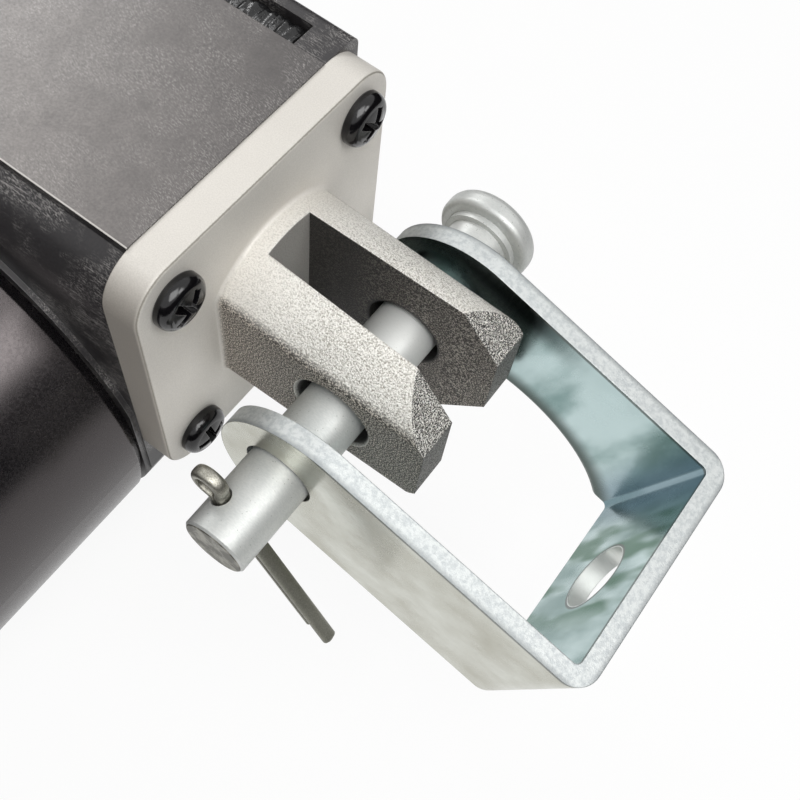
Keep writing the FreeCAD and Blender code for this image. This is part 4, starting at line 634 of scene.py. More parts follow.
        # A ragged line runs along the plate's rear edge, where its rounding meets the rear face.
        outer = put("VectorMath", {0: place["Object"]}, operation="ABSOLUTE")
        outer = put("SeparateXYZ", {0: outer}).node.outputs
        outer = put("Math", {0: outer["Y"], 1: outer["Z"]}, operation="MAXIMUM")
        outer = put("Math", {0: outer, 1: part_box("rear_clevis")[1].z - 2.2 * MM}, operation="GREATER_THAN")
        line = put("Math", {0: hammered, 1: 0.2, 2: facing["X"]}, operation="MULTIPLY_ADD")
        line = put("Math", {0: line, 1: 0.62}, operation="ADD")
        line = put("Math", {0: line}, operation="ABSOLUTE")
        line = put("MapRange", {"Value": line, "From Min": 0.2, "From Max": 0.08, "To Max": 0.85})
        line = put("Math", {0: line, 1: outer}, operation="MULTIPLY")
        tone = put("Mix", {0: line, 6: tone, 7: rgba(colours.casting_edge)}, data_type="RGBA")
        # Inside the slot the cast skin is left dark, with painted shade on its walls, most of all towards the
        # plate.
        aside = put("Math", {0: at["Y"]}, operation="ABSOLUTE")
        within = put("MapRange", {
            "Value": aside, "From Min": sizes.slot_half + 0.15 * MM, "From Max": sizes.slot_half - 0.15 * MM})
        inside = put("Math", {0: at["X"], 1: sizes.slot_end}, operation="LESS_THAN")
        upright = put("MapRange", {"Value": facing["Z"], "From Min": 0.5, "From Max": 0.3})
        rising = put("MapRange", {"Value": sideways, "To Min": 0.55})
        depth = put("MapRange", {
            "Value": at["X"], "From Min": -10 * MM, "From Max": 8 * MM, "To Min": 0.25, "To Max": 0.95})
        walls = within
        for share in (inside, upright, rising, depth):
            walls = put("Math", {0: walls, 1: share}, operation="MULTIPLY")
        tone = put("Mix", {0: walls, 6: tone, 7: rgba(colours.casting_slot_skin_and_shade)}, data_type="RGBA")
        # Painted shade inside the pin's hole.
        from_pin = put("VectorMath", {0: place["Object"], 1: (1, 0, 1)}, operation="MULTIPLY")
        from_pin = put("VectorMath", {0: from_pin}, operation="LENGTH")
        from_pin = put("MapRange", {
            "Value": from_pin, "From Min": sizes.fork_hole + 0.5 * MM, "From Max": sizes.fork_hole + 0.1 * MM,
            "To Max": 0.95})
        tone = put("Mix", {0: from_pin, 6: tone, 7: rgba(colours.casting_hole_shade)}, data_type="RGBA")
        link(tone, nodes["skin"], "Base Color")
        # The plate's grain is low, the fork's deep and its ends' a little less; the fork's edges are rounder.
        height = put("Mix", {0: fork, 2: grains, 3: hammered}, data_type="FLOAT")
        height = put("Mix", {0: tip, 2: height, 3: coarse}, data_type="FLOAT")
        link(height, nodes["relief"], "Height")
        deep = put("MapRange", {"Value": fainter, "To Min": 0.012 * MM, "To Max": 0.2 * MM})
        deep = put("Math", {0: tip, 1: -0.04 * MM, 2: deep}, operation="MULTIPLY_ADD")
        link(deep, nodes["relief"], "Distance")
        rounding = put("MapRange", {"Value": fork, "To Min": 0.2 * MM, "To Max": 0.45 * MM})
        link(rounding, nodes["soft"], "Radius")
        dress(["rear_clevis"], casting)
        return {"FINISHED"}


class ACTUATOR_OT_screws(Operator):
    """Pan-head screws of the clevis and bolts of the motor, with cross recesses"""

    bl_idname = "actuator.screws"
    bl_label = "Screws and motor bolts"

    def execute(self, context):
        sizes, colours, _ = groups()
        # Steel with black oxide, oiled: near black and glossy, with painted glints in grey along its edges.
        oxide = finish(
            "black_oxide_steel", colours.oxide, linear("#0E0D0F"), roughness=0.14, grain=0.3, relief=0.008,
            patch=2.0, edge=linear("#8A8885"), edge_width=0.1)
        low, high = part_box("clevis_screws")
        half = (high.y - low.y - sizes.head) / 2
        seat = low.x + sizes.head_height
        # Place and turn of each screw
        spots = ((half, half, 0.78), (-half, half, 0.95), (-half, -half, 0.62), (half, -half, 0.12))
        back = Matrix.Rotation(-math.pi / 2, 4, "Y")
        parts = []
        for y, z, turn in spots:
            screw = cross_screw(sizes.head, sizes.head_height, sizes.shank, high.x - seat, sizes, turn)
            parts.append(moved(screw, Matrix.Translation((seat, y, z)) @ back))
        piece("clevis_cross_screws", joined(parts), oxide, "gearbox", "clevis_screws")
        low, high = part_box("motor_bolts")
        head = high.x - low.x
        middle = (low.x + high.x) / 2
        seat = high.y - sizes.bolt_head
        forward = Matrix.Rotation(-math.pi / 2, 4, "X")
        parts = []
        for z, turn in ((low.z + head / 2, 0.4), (high.z - head / 2, 1.1)):
            bolt = cross_screw(head, sizes.bolt_head, sizes.bolt_shank, seat - low.y, sizes, turn)
            parts.append(moved(bolt, Matrix.Translation((middle, seat, z)) @ forward))
        piece("motor_cross_bolts", joined(parts), oxide, "gearbox", "motor_bolts")
        return {"FINISHED"}


class ACTUATOR_OT_housing(Operator):
    """Finish of the gear housing and the compound in its channel"""

    bl_idname = "actuator.housing"
    bl_label = "Gear housing"

    def execute(self, context):
        sizes, colours, _ = groups()
        # Aluminium die casting with black paint: satin black, scuffed all over with short pale scratches and
        # flecks, dusty grey with a painted sheen on its top.
        paint = finish(
            "black_painted_casting", colours.housing, colours.housing_scuff, roughness=0.38, grain=0.3,
            relief=0.012, patch=6.0, cloudy=0.5, spread=0.14, edge=linear("#4A4847"), edge_width=0.14)
        put, nodes, tone = reopened(paint)
        place = nodes["place"].outputs
        at = put("SeparateXYZ", {0: place["Object"]}).node.outputs
        up = put("SeparateXYZ", {0: place["Normal"]}).node.outputs["Z"]
        # Dust and a painted sheen lie on the level top, less of them towards the plate's far corner.
        level = put("MapRange", {"Value": up, "From Min": 0.95, "From Max": 0.995})
        top = put("Math", {0: at["Z"], 1: sizes.flat_top}, operation="GREATER_THAN")
        away = put("VectorMath", {0: place["Object"], 1: (0.8, 0.6, 0)}, operation="DOT_PRODUCT")
        away = put("MapRange", {
            "Value": away, "From Min": 8 * MM, "From Max": 42 * MM, "To Min": 0.28, "To Max": 1.0})
        blotches = put("TexNoise", {
            "Vector": place["Object"], "Scale": per_mm(2.2), "Detail": 6.0, "Roughness": 0.68})
        cloud = put("MapRange", {"Value": blotches, "From Min": 0.32, "From Max": 0.68, "To Min": 0.8})
        lid = put("Math", {0: top, 1: level}, operation="MULTIPLY")
        dust_and_sheen = put("Math", {0: lid, 1: away}, operation="MULTIPLY")
        dust_and_sheen = put("Math", {0: dust_and_sheen, 1: cloud}, operation="MULTIPLY")
        grainy = put("MapRange", {
            "Value": nodes["grains"].outputs["Fac"], "From Min": 0.3, "From Max": 0.7, "To Min": 0.72,
            "To Max": 1.12}, clamp=False)
        dust_and_sheen = put("Math", {0: dust_and_sheen, 1: grainy}, operation="MULTIPLY", use_clamp=True)
        tone = put("Mix", {0: dust_and_sheen, 6: tone, 7: rgba(colours.housing_dust_and_sheen)}, data_type="RGBA")
        # Scuffs in patches: peaks of a noise, each set with its own turn, width in mm, length for that width,
        # threshold and share left on the raised flat. Short ones lean a little off the part's length, long
        # ones run along the sides.
        worn = put("MapRange", {
            "Value": nodes["patches"].outputs["Fac"], "From Min": 0.42, "From Max": 0.62, "To Max": 0.55})
        for turn, wide, long, peak, left in ((-0.16, 0.13, 4, 0.54, 0.8), (-0.5, 0.13, 3, 0.55, 0.7),
                                             (0.06, 0.2, 16, 0.56, 0.0)):
            drawn = put("Mapping", {
                "Vector": place["Object"], "Rotation": (0, 0, turn),
                "Scale": (long, 1, 1)}, vector_type="TEXTURE")
            marks = put("TexNoise", {"Vector": drawn, "Scale": per_mm(wide), "Detail": 1.0})
            marks = put("MapRange", {"Value": marks, "From Min": peak, "From Max": peak + 0.16})
            marks = put("Math", {0: marks, 1: worn}, operation="MULTIPLY")
            kept = put("MapRange", {"Value": lid, "To Min": 1.0, "To Max": left})
            marks = put("Math", {0: marks, 1: kept}, operation="MULTIPLY")
            tone = put("Mix", {0: marks, 6: tone, 7: rgba(colours.housing_scratch)}, data_type="RGBA")
        # A painted highlight runs along the raised flat's near edge.
        edge_highlight = put("Math", {0: at["Y"], 1: sizes.flat_edge}, operation="SUBTRACT")
        edge_highlight = put("Math", {0: edge_highlight}, operation="ABSOLUTE")
        edge_highlight = put("MapRange", {"Value": edge_highlight, "From Min": 0.14 * MM, "From Max": 0.06 * MM, "To Max": 0.9})
        edge_highlight = put("Math", {0: edge_highlight, 1: top}, operation="MULTIPLY")
        tone = put("Mix", {0: edge_highlight, 6: tone, 7: rgba(colours.housing_edge_highlight)}, data_type="RGBA")
        link(tone, nodes["skin"], "Base Color")
        dress(["gear_housing"], paint)
        # Potting compound over the sensor wires: glossy black, lumpy.
        compound = finish(
            "cured_potting_compound", colours.potting, linear("#1C1C1D"), roughness=0.22, grain=0.5,
            relief=0.09, patch=3.0, spread=0.2, edge_width=0.05)
        low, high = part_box("gear_housing")
        front_gap = 0.6 * MM
        ridge = potting_ridge(low.x + sizes.channel_from, high.x - front_gap, sizes)
        piece("channel_potting", ridge, compound, "gearbox")
        return {"FINISHED"}


class ACTUATOR_OT_motor(Operator):
    """Finishes of the motor's can, mouldings and cable inlet"""

    bl_idname = "actuator.motor"
    bl_label = "Motor outside"

    def execute(self, context):
        colours = context.scene.actuator_colours
        # Drawn steel with stoved black paint: satin black with a soft broad highlight.
        enamel = finish(
            "black_enamelled_steel", colours.motor, colours.motor_scuff, roughness=0.26, grain=0.35,
            relief=0.0006, patch=11.0, spread=0.1, edge=linear("#3A393A"),
            **{"Specular IOR Level": 0.8, "Specular Tint": rgba(linear("#FFF3F3"))})
        dress(["motor_can"], enamel)
        # Glass-filled nylon, moulded: matt black with a fine spark-eroded texture, drawn coarser than it is
        # so that it shows.
        nylon = finish(
            "moulded_black_nylon", colours.cap, linear("#2B2B2D"), roughness=0.55, grain=0.35, relief=0.02,
            patch=8.0, edge=linear("#3D3D3F"))
        dress(["motor_end_cap", "brush_holder"], nylon)
        # Soft rubber, moulded: dull black with a bloom.
        rubber = finish(
            "moulded_black_rubber", colours.rubber, linear("#262627"), roughness=0.72, grain=0.3, relief=0.02,
            patch=5.0)
        dress(["cable_grommet"], rubber)
        return {"FINISHED"}


class ACTUATOR_OT_motor_inside(Operator):
    """Finishes and springs inside the motor"""

    bl_idname = "actuator.motor_inside"
    bl_label = "Motor inside"

    def execute(self, context):
        sizes, colours, _ = groups()
        # Sintered ferrite: dark grey, dull, ground on its faces.
        dress(["motor_magnets", "trip_magnet"], finish(
            "ground_ferrite", colours.ferrite, linear("#2C2B2B"), roughness=0.6, grain=0.3, relief=0.02,
            patch=4.0))
        # Stacked electrical steel: thin sheets across the shaft, half a millimetre each.
        dress(["armature_core"], finish(
            "stacked_core_steel", colours.core, linear("#4B4A49"), metallic=0.9, roughness=0.42, grain=0.5,
            relief=0.03, patch=6.0, lines=(0.02, 1.0, 0.02)))
        # Enamelled copper wire, wound: warm brown-red with fine strands.
        dress(["armature_windings"], finish(
            "enamelled_copper_wire", colours.copper, linear("#7C3F22"), metallic=0.8, roughness=0.35,
            grain=0.45, relief=0.08, patch=3.0, lines=(1.0, 0.15, 1.0)))
        # Turned copper: bright, ring marks round the shaft.
        dress(["commutator"], finish(
            "turned_copper", colours.copper, linear("#94542F"), metallic=1.0, roughness=0.3, grain=0.25,
            relief=0.008, patch=5.0, lines=(0.05, 1.0, 0.05)))
        # Pressed carbon: dark grey with a faint graphite sheen.
        dress(["brushes"], finish(
            "pressed_carbon", colours.carbon, linear("#3A3A3B"), metallic=0.1, roughness=0.5, grain=0.25,
            relief=0.02, patch=3.0))
        # Sintered bronze: warm and dull, with fine pores drawn coarser than they are so that they show.
        dress(["motor_front_bush", "motor_rear_bush", "worm_bush", "rod_bush"], finish(
            "sintered_bronze", colours.bronze, linear("#7E5A2D"), metallic=0.9, roughness=0.42, grain=0.2,
            relief=0.02, patch=3.0))
        # Spring wire, hard drawn: bright grey with a fine grain.
        wire = finish(
            "drawn_spring_wire", linear("#9A9B9D"), linear("#77787A"), metallic=1.0, roughness=0.3, grain=0.2,
            relief=0.004, patch=2.0)
        low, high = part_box("brush_springs")
        inner_low, inner_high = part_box("brushes")
        centre = ((low.x + high.x) / 2, (low.y + high.y) / 2, (low.z + high.z) / 2)
        radius = (high.z - low.z) / 2
        half = sizes.spring_wire / 2
        ends = ((inner_high.x + half, high.x - half), (inner_low.x - half, low.x + half))
        springs = [coil(start, end, centre, radius, sizes.spring_wire, sizes.spring_coils)
                   for start, end in ends]
        piece("brush_coil_springs", joined(springs), wire, "gearbox", "brush_springs")
        return {"FINISHED"}


class ACTUATOR_OT_tube(Operator):
    """Finishes of the guide tube and its front end"""

    bl_idname = "actuator.tube"
    bl_label = "Guide tube"

    def execute(self, context):
        colours = context.scene.actuator_colours
        # Extruded aluminium, clear anodised: silver satin with draw lines along the tube.
        anodised = finish(
            "anodised_aluminium", colours.tube, linear("#9C9EA1"), metallic=0.85, roughness=0.38, grain=0.35,
            relief=0.006, patch=20.0, lines=(0.02, 1.0, 1.0), edge=linear("#D3D4D6"))
        dress(["outer_tube", "bearing_carrier"], anodised)
        # The same alloy, turned before anodising: a shade darker, with fine rings round the cap.
        turned = finish(
            "turned_anodised_aluminium", linear("#9B9DA0"), linear("#83858A"), metallic=0.85, roughness=0.34,
            grain=0.25, relief=0.008, patch=9.0, lines=(1.0, 0.05, 0.05), edge=linear("#D3D4D6"))
        dress(["front_cap"], turned)
        # Nitrile rubber, moulded: dull black.
        rubber = finish(
            "moulded_nitrile_rubber", colours.rubber, linear("#262627"), roughness=0.7, grain=0.3,
            relief=0.02, patch=5.0)
        dress(["tube_seal", "rod_wiper"], rubber)
        return {"FINISHED"}


class ACTUATOR_OT_rod(Operator):
    """Finishes of the rod, its eye, its nut and the wheel"""

    bl_idname = "actuator.rod"
    bl_label = "Rod and nut"

    def execute(self, context):
        colours = context.scene.actuator_colours
        # Hard chrome, ground and polished: bright, with faint grinding rings round the rod, drawn coarser
        # than they are so that they show.
        chrome = finish(
            "ground_hard_chrome", colours.chrome, linear("#B9BCBF"), metallic=1.0, roughness=0.16, grain=0.12,
            relief=0.0012, patch=25.0, lines=(1.0, 0.03, 0.03), spread=0.06)
        dress(["piston_rod"], chrome)
        # Zinc-alloy die casting, blasted fine: warm light grey, dull, a little brighter on its edges.
        blasted = finish(
            "fine_blasted_die_casting", colours.casting, colours.casting_shade, metallic=0.35, roughness=0.5,
            grain=0.16, relief=0.02, patch=6.0, edge=linear("#EEEBE5"))
        dress(["rod_end"], blasted)
        # Spring steel with black oxide: dark blue-grey with a soft sheen.
        dress(["wheel_clip"], finish(
            "oxidised_spring_steel", linear("#57585B"), linear("#3E3F42"), metallic=1.0, roughness=0.36,
            grain=0.2, relief=0.006, patch=3.0))
        # Acetal, machined: ivory white with turning rings.
        dress(["drive_nut", "worm_wheel"], finish(
            "machined_acetal", colours.nut, linear("#D3CDBB"), roughness=0.45, grain=0.25, relief=0.01,
            patch=8.0, lines=(1.0, 0.1, 0.1)))
        return {"FINISHED"}


class ACTUATOR_OT_spindle(Operator):
    """Threaded lead screw, and the finishes of its key and the worm"""

    bl_idname = "actuator.spindle"
    bl_label = "Spindle and gears"

    def execute(self, context):
        sizes, colours, _ = groups()
        # Steel with a rolled thread: bright, with fine rolling marks round the screw and pale edges.
        rolled = finish(
            "rolled_screw_steel", colours.steel, linear("#8A8A8A"), metallic=1.0, roughness=0.3, grain=0.25,
            relief=0.006, patch=6.0, lines=(1.0, 0.06, 0.06), edge=linear("#D0D0D0"))
        ring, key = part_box("wheel_clip"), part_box("wheel_key")
        low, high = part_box("lead_screw")
        rear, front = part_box("rear_bearing_inner_race")[1].x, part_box("front_bearing_inner_race")
        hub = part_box("worm_wheel")[1].x
        steps = ((low.x, sizes.screw_journal), (rear, sizes.screw_journal), (rear, sizes.screw),
                 (ring[0].x, sizes.screw), (ring[0].x, sizes.screw_groove), (ring[1].x, sizes.screw_groove),
                 (ring[1].x, sizes.screw), (key[0].x, sizes.screw), (key[0].x, None), (key[1].x, None),
                 (key[1].x, sizes.screw), (hub, sizes.screw), (hub, sizes.screw_collar),
                 (front[0].x, sizes.screw_collar), (front[0].x, sizes.screw), (front[1].x, sizes.screw))
        screw = threaded_screw(steps, key, front[1].x, high.x, sizes)
        piece("lead_screw_threaded", screw, rolled, "spindle", "lead_screw")
        dress(["wheel_key"], rolled)
        # Steel with a hobbed worm: grey, marks of the hob along the thread.
        hobbed = finish(
            "hobbed_worm_steel", linear("#A2A2A2"), linear("#7B7B7B"), metallic=1.0, roughness=0.28,
            grain=0.2, relief=0.006, patch=4.0, lines=(0.06, 1.0, 0.06), edge=linear("#CFCFCF"))
        dress(["worm_shaft"], hobbed)
        return {"FINISHED"}


class ACTUATOR_OT_bearings(Operator):
    """Finish of the ball bearings and the rod's pin"""

    bl_idname = "actuator.bearings"
    bl_label = "Ball bearings"

    def execute(self, context):
        colours = context.scene.actuator_colours
        # Hardened steel, ground: bright, with fine rings round the axis, drawn coarser than they are so that
        # they show.
        races = finish(
            "ground_bearing_steel", colours.steel, linear("#929292"), metallic=1.0, roughness=0.2, grain=0.15,
            relief=0.002, patch=6.0, lines=(1.0, 0.05, 0.05), spread=0.08, edge=linear("#DDDDDD"))
        dress([end + part for end in ("rear_bearing_", "front_bearing_")
               for part in ("outer_race", "inner_race", "balls")] + ["rod_roll_pin"], races)
        return {"FINISHED"}


class ACTUATOR_OT_sensors(Operator):
    """Finishes of the end sensors and their board"""

    bl_idname = "actuator.sensors"
    bl_label = "End sensors"

    def execute(self, context):
        colours = context.scene.actuator_colours
        # Glass-fibre board under solder mask: glossy green with the weave showing.
        dress(["limit_sensor_strip"], finish(
            "soldermask_board", colours.board, linear("#174927"), roughness=0.4, grain=0.5, relief=0.01,
            patch=4.0))
        # Glass-filled nylon, moulded: dark grey, fine matt texture.
        dress(["limit_sensors"], finish(
            "moulded_sensor_nylon", linear("#202022"), linear("#2C2C2E"), roughness=0.5, grain=0.2,
            relief=0.01, patch=3.0))
        return {"FINISHED"}


class ACTUATOR_OT_bracket(Operator):
    """Finish of the bent bracket"""

    bl_idname = "actuator.bracket"
    bl_label = "Mounting bracket"

    def execute(self, context):
        sizes, colours, _ = groups()
        # Cold-rolled strip, zinc plated and blue passivated: bright and cloudy, blue-green inside with green
        # patches round the base hole, granular pale edges between thin dark lines.
        zinc = finish(
            "blue_passivated_zinc_strip", colours.zinc, colours.zinc_cloud, metallic=1.0, roughness=0.26,
            grain=0.14, relief=0.004, patch=8.0, cloudy=0.85, spread=0.16, edge_width=0.2,
            speck=(linear("#96978F"), 0.12, 0.04))
        put, nodes, tone = reopened(zinc)
        place = nodes["place"].outputs
        grains = nodes["grains"].outputs["Fac"]
        # The strip's own directions: run along its arms, sway from arm to arm, level over its width. The
        # inner faces lie at half_gap from the middle and at floor along the run.
        low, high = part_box("mounting_bracket")
        half = (high.y - low.y) / 2
        half_gap, floor = half - sizes.strip, sizes.strip - sizes.strip_reach
        lean = Matrix.Rotation(-sizes.strip_drop, 3, "Y")
        along, wide = lean @ Vector((1, 0, 0)), lean @ Vector((0, 0, 1))
        run = put("VectorMath", {0: place["Object"], 1: along}, operation="DOT_PRODUCT")
        level = put("VectorMath", {0: place["Object"], 1: wide}, operation="DOT_PRODUCT")
        sway = put("SeparateXYZ", {0: place["Object"]}).node.outputs["Y"]
        sway = put("Math", {0: sway, 1: (low.y + high.y) / 2}, operation="SUBTRACT")
        # Inner faces: clouds that stretch over the strip's width.
        off = put("Math", {0: sway}, operation="ABSOLUTE")
        between = put("Math", {0: off, 1: half_gap + 0.05 * MM}, operation="LESS_THAN")
        ahead = put("Math", {0: run, 1: floor - 0.05 * MM}, operation="GREATER_THAN")
        inner = put("Math", {0: between, 1: ahead}, operation="MULTIPLY")
        pressed = put("Math", {0: level, 1: 0.35}, operation="MULTIPLY")
        drawn = put("CombineXYZ", {0: run, 1: sway, 2: pressed})
        cloud = put("TexNoise", {"Vector": drawn, "Scale": per_mm(8.0), "Detail": 4.0})
        cloud = put("MapRange", {"Value": cloud, "From Min": 0.38, "From Max": 0.66}, **SMOOTH)
        blue = put("Mix", {
            0: cloud, 6: rgba(colours.zinc_tint), 7: rgba(colours.zinc_deep)}, data_type="RGBA")
        green = put("TexNoise", {"Vector": drawn, "Scale": per_mm(5.2), "Detail": 2.0})
        green = put("MapRange", {"Value": green, "From Min": 0.46, "From Max": 0.59}, **SMOOTH)
        at_base = put("Math", {0: run, 1: floor + 0.7 * MM}, operation="LESS_THAN")
        green = put("Math", {0: green, 1: at_base}, operation="MULTIPLY")
        fade = put("MapRange", {"Value": sway, "From Min": 9 * MM, "From Max": 5 * MM})
        green = put("Math", {0: green, 1: fade}, operation="MULTIPLY")
        blue = put("Mix", {0: green, 6: blue, 7: rgba(colours.zinc_green)}, data_type="RGBA")
        # The far bend is bluer, within about 6 mm of its line.
        bend_run = put("Math", {0: run, 1: -floor}, operation="ADD")
        bend_sway = put("Math", {0: sway, 1: half_gap}, operation="ADD")
        bend = put("CombineXYZ", {0: bend_run, 1: bend_sway})
        bend = put("VectorMath", {0: bend}, operation="LENGTH")
        bend = put("MapRange", {
            "Value": bend, "From Min": 6.5 * MM, "From Max": 1.5 * MM, "To Max": 0.75}, **SMOOTH)
        blue = put("Mix", {0: bend, 6: blue, 7: rgba(colours.zinc_blue)}, data_type="RGBA")
        share = put("Math", {0: inner, 1: 0.9}, operation="MULTIPLY")
        tone = put("Mix", {0: share, 6: tone, 7: blue}, data_type="RGBA")
        # By the far ear a band of painted dark reflection and shade follows the strip's upper edge.
        round_ear = put("Math", {0: run, 1: 0.0}, operation="MAXIMUM")
        round_ear = put("CombineXYZ", {0: round_ear, 1: level})
        painted_dark_band = put("VectorMath", {0: round_ear}, operation="LENGTH")
        painted_dark_band = put("MapRange", {
            "Value": painted_dark_band, "From Min": sizes.strip_edge - 5.5 * MM, "From Max": sizes.strip_edge - 1.8 * MM,
            "To Max": 0.9}, **SMOOTH)
        for value, start, end in ((run, -20, -9), (level, -3, 2), (sway, 0.5, -0.5)):
            fade = put("MapRange", {"Value": value, "From Min": start * MM, "From Max": end * MM}, **SMOOTH)
            painted_dark_band = put("Math", {0: painted_dark_band, 1: fade}, operation="MULTIPLY")
        painted_dark_band = put("Math", {0: painted_dark_band, 1: inner}, operation="MULTIPLY")
        tone = put("Mix", {0: painted_dark_band, 6: tone, 7: rgba(colours.zinc_dark_reflection)}, data_type="RGBA")
        # The punch left a fine dark ring round the base hole.
        from_hole = put("CombineXYZ", {0: sway, 1: level})
        from_hole = put("VectorMath", {0: from_hole}, operation="LENGTH")
        ring = put("Math", {0: from_hole, 1: sizes.base_ring}, operation="SUBTRACT")
        ring = put("Math", {0: ring}, operation="ABSOLUTE")
        ring = put("MapRange", {"Value": ring, "From Min": 0.24 * MM, "From Max": 0.1 * MM, "To Max": 0.85})
        ring = put("Math", {0: ring, 1: at_base}, operation="MULTIPLY")
        tone = put("Mix", {0: ring, 6: tone, 7: rgba(colours.zinc_line)}, data_type="RGBA")
        # Sheared edges, round the ears too: rougher, paler and granular.
        over = put("VectorMath", {0: place["Normal"], 1: wide}, operation="DOT_PRODUCT")
        over = put("Math", {0: over}, operation="ABSOLUTE")
        cut = put("MapRange", {"Value": over, "From Min": 0.3, "From Max": 0.6})
        across = put("SeparateXYZ", {0: place["Normal"]}).node.outputs["Y"]
        across = put("Math", {0: across}, operation="ABSOLUTE")
        across = put("Math", {0: across, 1: 0.5}, operation="LESS_THAN")
        ear = put("MapRange", {"Value": run, "From Min": -2 * MM, "From Max": 3 * MM})
        ear = put("Math", {0: ear, 1: across}, operation="MULTIPLY")
        cut = put("Math", {0: cut, 1: ear}, operation="MAXIMUM")
        torn = put("TexNoise", {
            "Vector": place["Object"], "Scale": per_mm(0.6), "Detail": 4.0, "Roughness": 0.75})
        pits = put("MapRange", {"Value": torn, "From Min": 0.6, "From Max": 0.36}, **SMOOTH)
        rim = put("Mix", {0: pits, 6: rgba(colours.zinc_cut), 7: rgba(colours.zinc_pit)}, data_type="RGBA")
        # Their outer border is rounded, and painted shade makes it greyer. It comes from the share of the
        # thickness passed, on the arms or the base.
        out_arm = put("MapRange", {"Value": off, "From Min": half_gap, "From Max": half}, clamp=False)
        out_base = put("MapRange", {
            "Value": run, "From Min": floor, "From Max": -sizes.strip_reach}, clamp=False)
        out = put("Math", {0: out_arm, 1: out_base}, operation="MAXIMUM")
        out = put("MapRange", {"Value": out, "From Min": 0.66, "From Max": 1.0, "To Max": 0.7}, **SMOOTH)
        rim = put("Mix", {0: out, 6: rim, 7: rgba(colours.zinc_border_shade)}, data_type="RGBA")
        tone = put("Mix", {0: cut, 6: tone, 7: rim}, data_type="RGBA")
        # Thin ragged dark lines on the faces beside the upper sheared edge.
        line = put("Math", {0: grains, 1: 0.3 * MM, 2: level}, operation="MULTIPLY_ADD")
        line = put("MapRange", {
            "Value": line, "From Min": sizes.strip_edge - 0.4 * MM, "From Max": sizes.strip_edge - 0.25 * MM})
        line = put("Math", {0: line, 1: 0.8}, operation="MULTIPLY")
        faces = put("Math", {0: 1.0, 1: cut}, operation="SUBTRACT")
        line = put("Math", {0: line, 1: faces}, operation="MULTIPLY")
        tone = put("Mix", {0: line, 6: tone, 7: rgba(colours.zinc_line)}, data_type="RGBA")
        # A painted dark reflection darkens the far arm towards the hollow's rolled edge.
        back = put("Math", {0: run, 1: sizes.hollow_back}, operation="ADD")
        below = put("Math", {0: level, 1: sizes.hollow_down}, operation="ADD")
        rolled = put("CombineXYZ", {0: back, 1: below})
        rolled = put("VectorMath", {0: rolled}, operation="LENGTH")
        rolled = put("MapRange", {
            "Value": rolled, "From Min": sizes.hollow + 4.2 * MM, "From Max": sizes.hollow + 1.0 * MM,
            "To Max": 0.95}, **SMOOTH)
        far = put("Math", {0: sway, 1: 0.0}, operation="LESS_THAN")
        rolled = put("Math", {0: rolled, 1: far}, operation="MULTIPLY")
        arm = put("Math", {0: 1.0, 1: at_base}, operation="SUBTRACT")
        rolled = put("Math", {0: rolled, 1: arm}, operation="MULTIPLY")
        tone = put("Mix", {0: rolled, 6: tone, 7: rgba(colours.zinc_roll_reflection)}, data_type="RGBA")
        # The base hole's wall is bright.
        bore = put("MapRange", {
            "Value": from_hole, "From Min": sizes.base_ring - 0.1 * MM,
            "From Max": sizes.base_ring - 0.2 * MM, "To Max": 0.9})
        bore = put("Math", {0: bore, 1: at_base}, operation="MULTIPLY")
        tone = put("Mix", {0: bore, 6: tone, 7: rgba(colours.zinc_hole)}, data_type="RGBA")
        link(tone, nodes["skin"], "Base Color")
        gloss = nodes["skin"].inputs["Roughness"].links[0].from_socket
        gloss = put("Mix", {0: cut, 2: gloss, 3: 0.6}, data_type="FLOAT")
        link(gloss, nodes["skin"], "Roughness")
        # Marks of a washer round the pin's hole: rings 0.5 mm wide, out to 11 mm. The wave texture counts 20
        # radians for each unit.
        rings = put("TexWave", {
            "Vector": place["Object"], "Scale": per_mm(0.5) / 20 * math.pi, "Distortion": 1.5,
            "Detail": 2.0}, wave_type="RINGS", rings_direction="Y").node.outputs["Fac"]
        round_pin = put("VectorMath", {0: place["Object"], 1: (1, 0, 1)}, operation="MULTIPLY")
        round_pin = put("VectorMath", {0: round_pin}, operation="LENGTH")
        reach = put("MapRange", {"Value": round_pin, "From Min": 11 * MM, "From Max": 8 * MM, "To Max": 0.3})
        marks = put("Math", {0: rings, 1: reach, 2: grains}, operation="MULTIPLY_ADD")
        link(marks, nodes["relief"], "Height")
        deep = put("MapRange", {"Value": cut, "To Min": 0.004 * MM, "To Max": 0.035 * MM})
        link(deep, nodes["relief"], "Distance")
        dress(["mounting_bracket"], zinc)
        return {"FINISHED"}


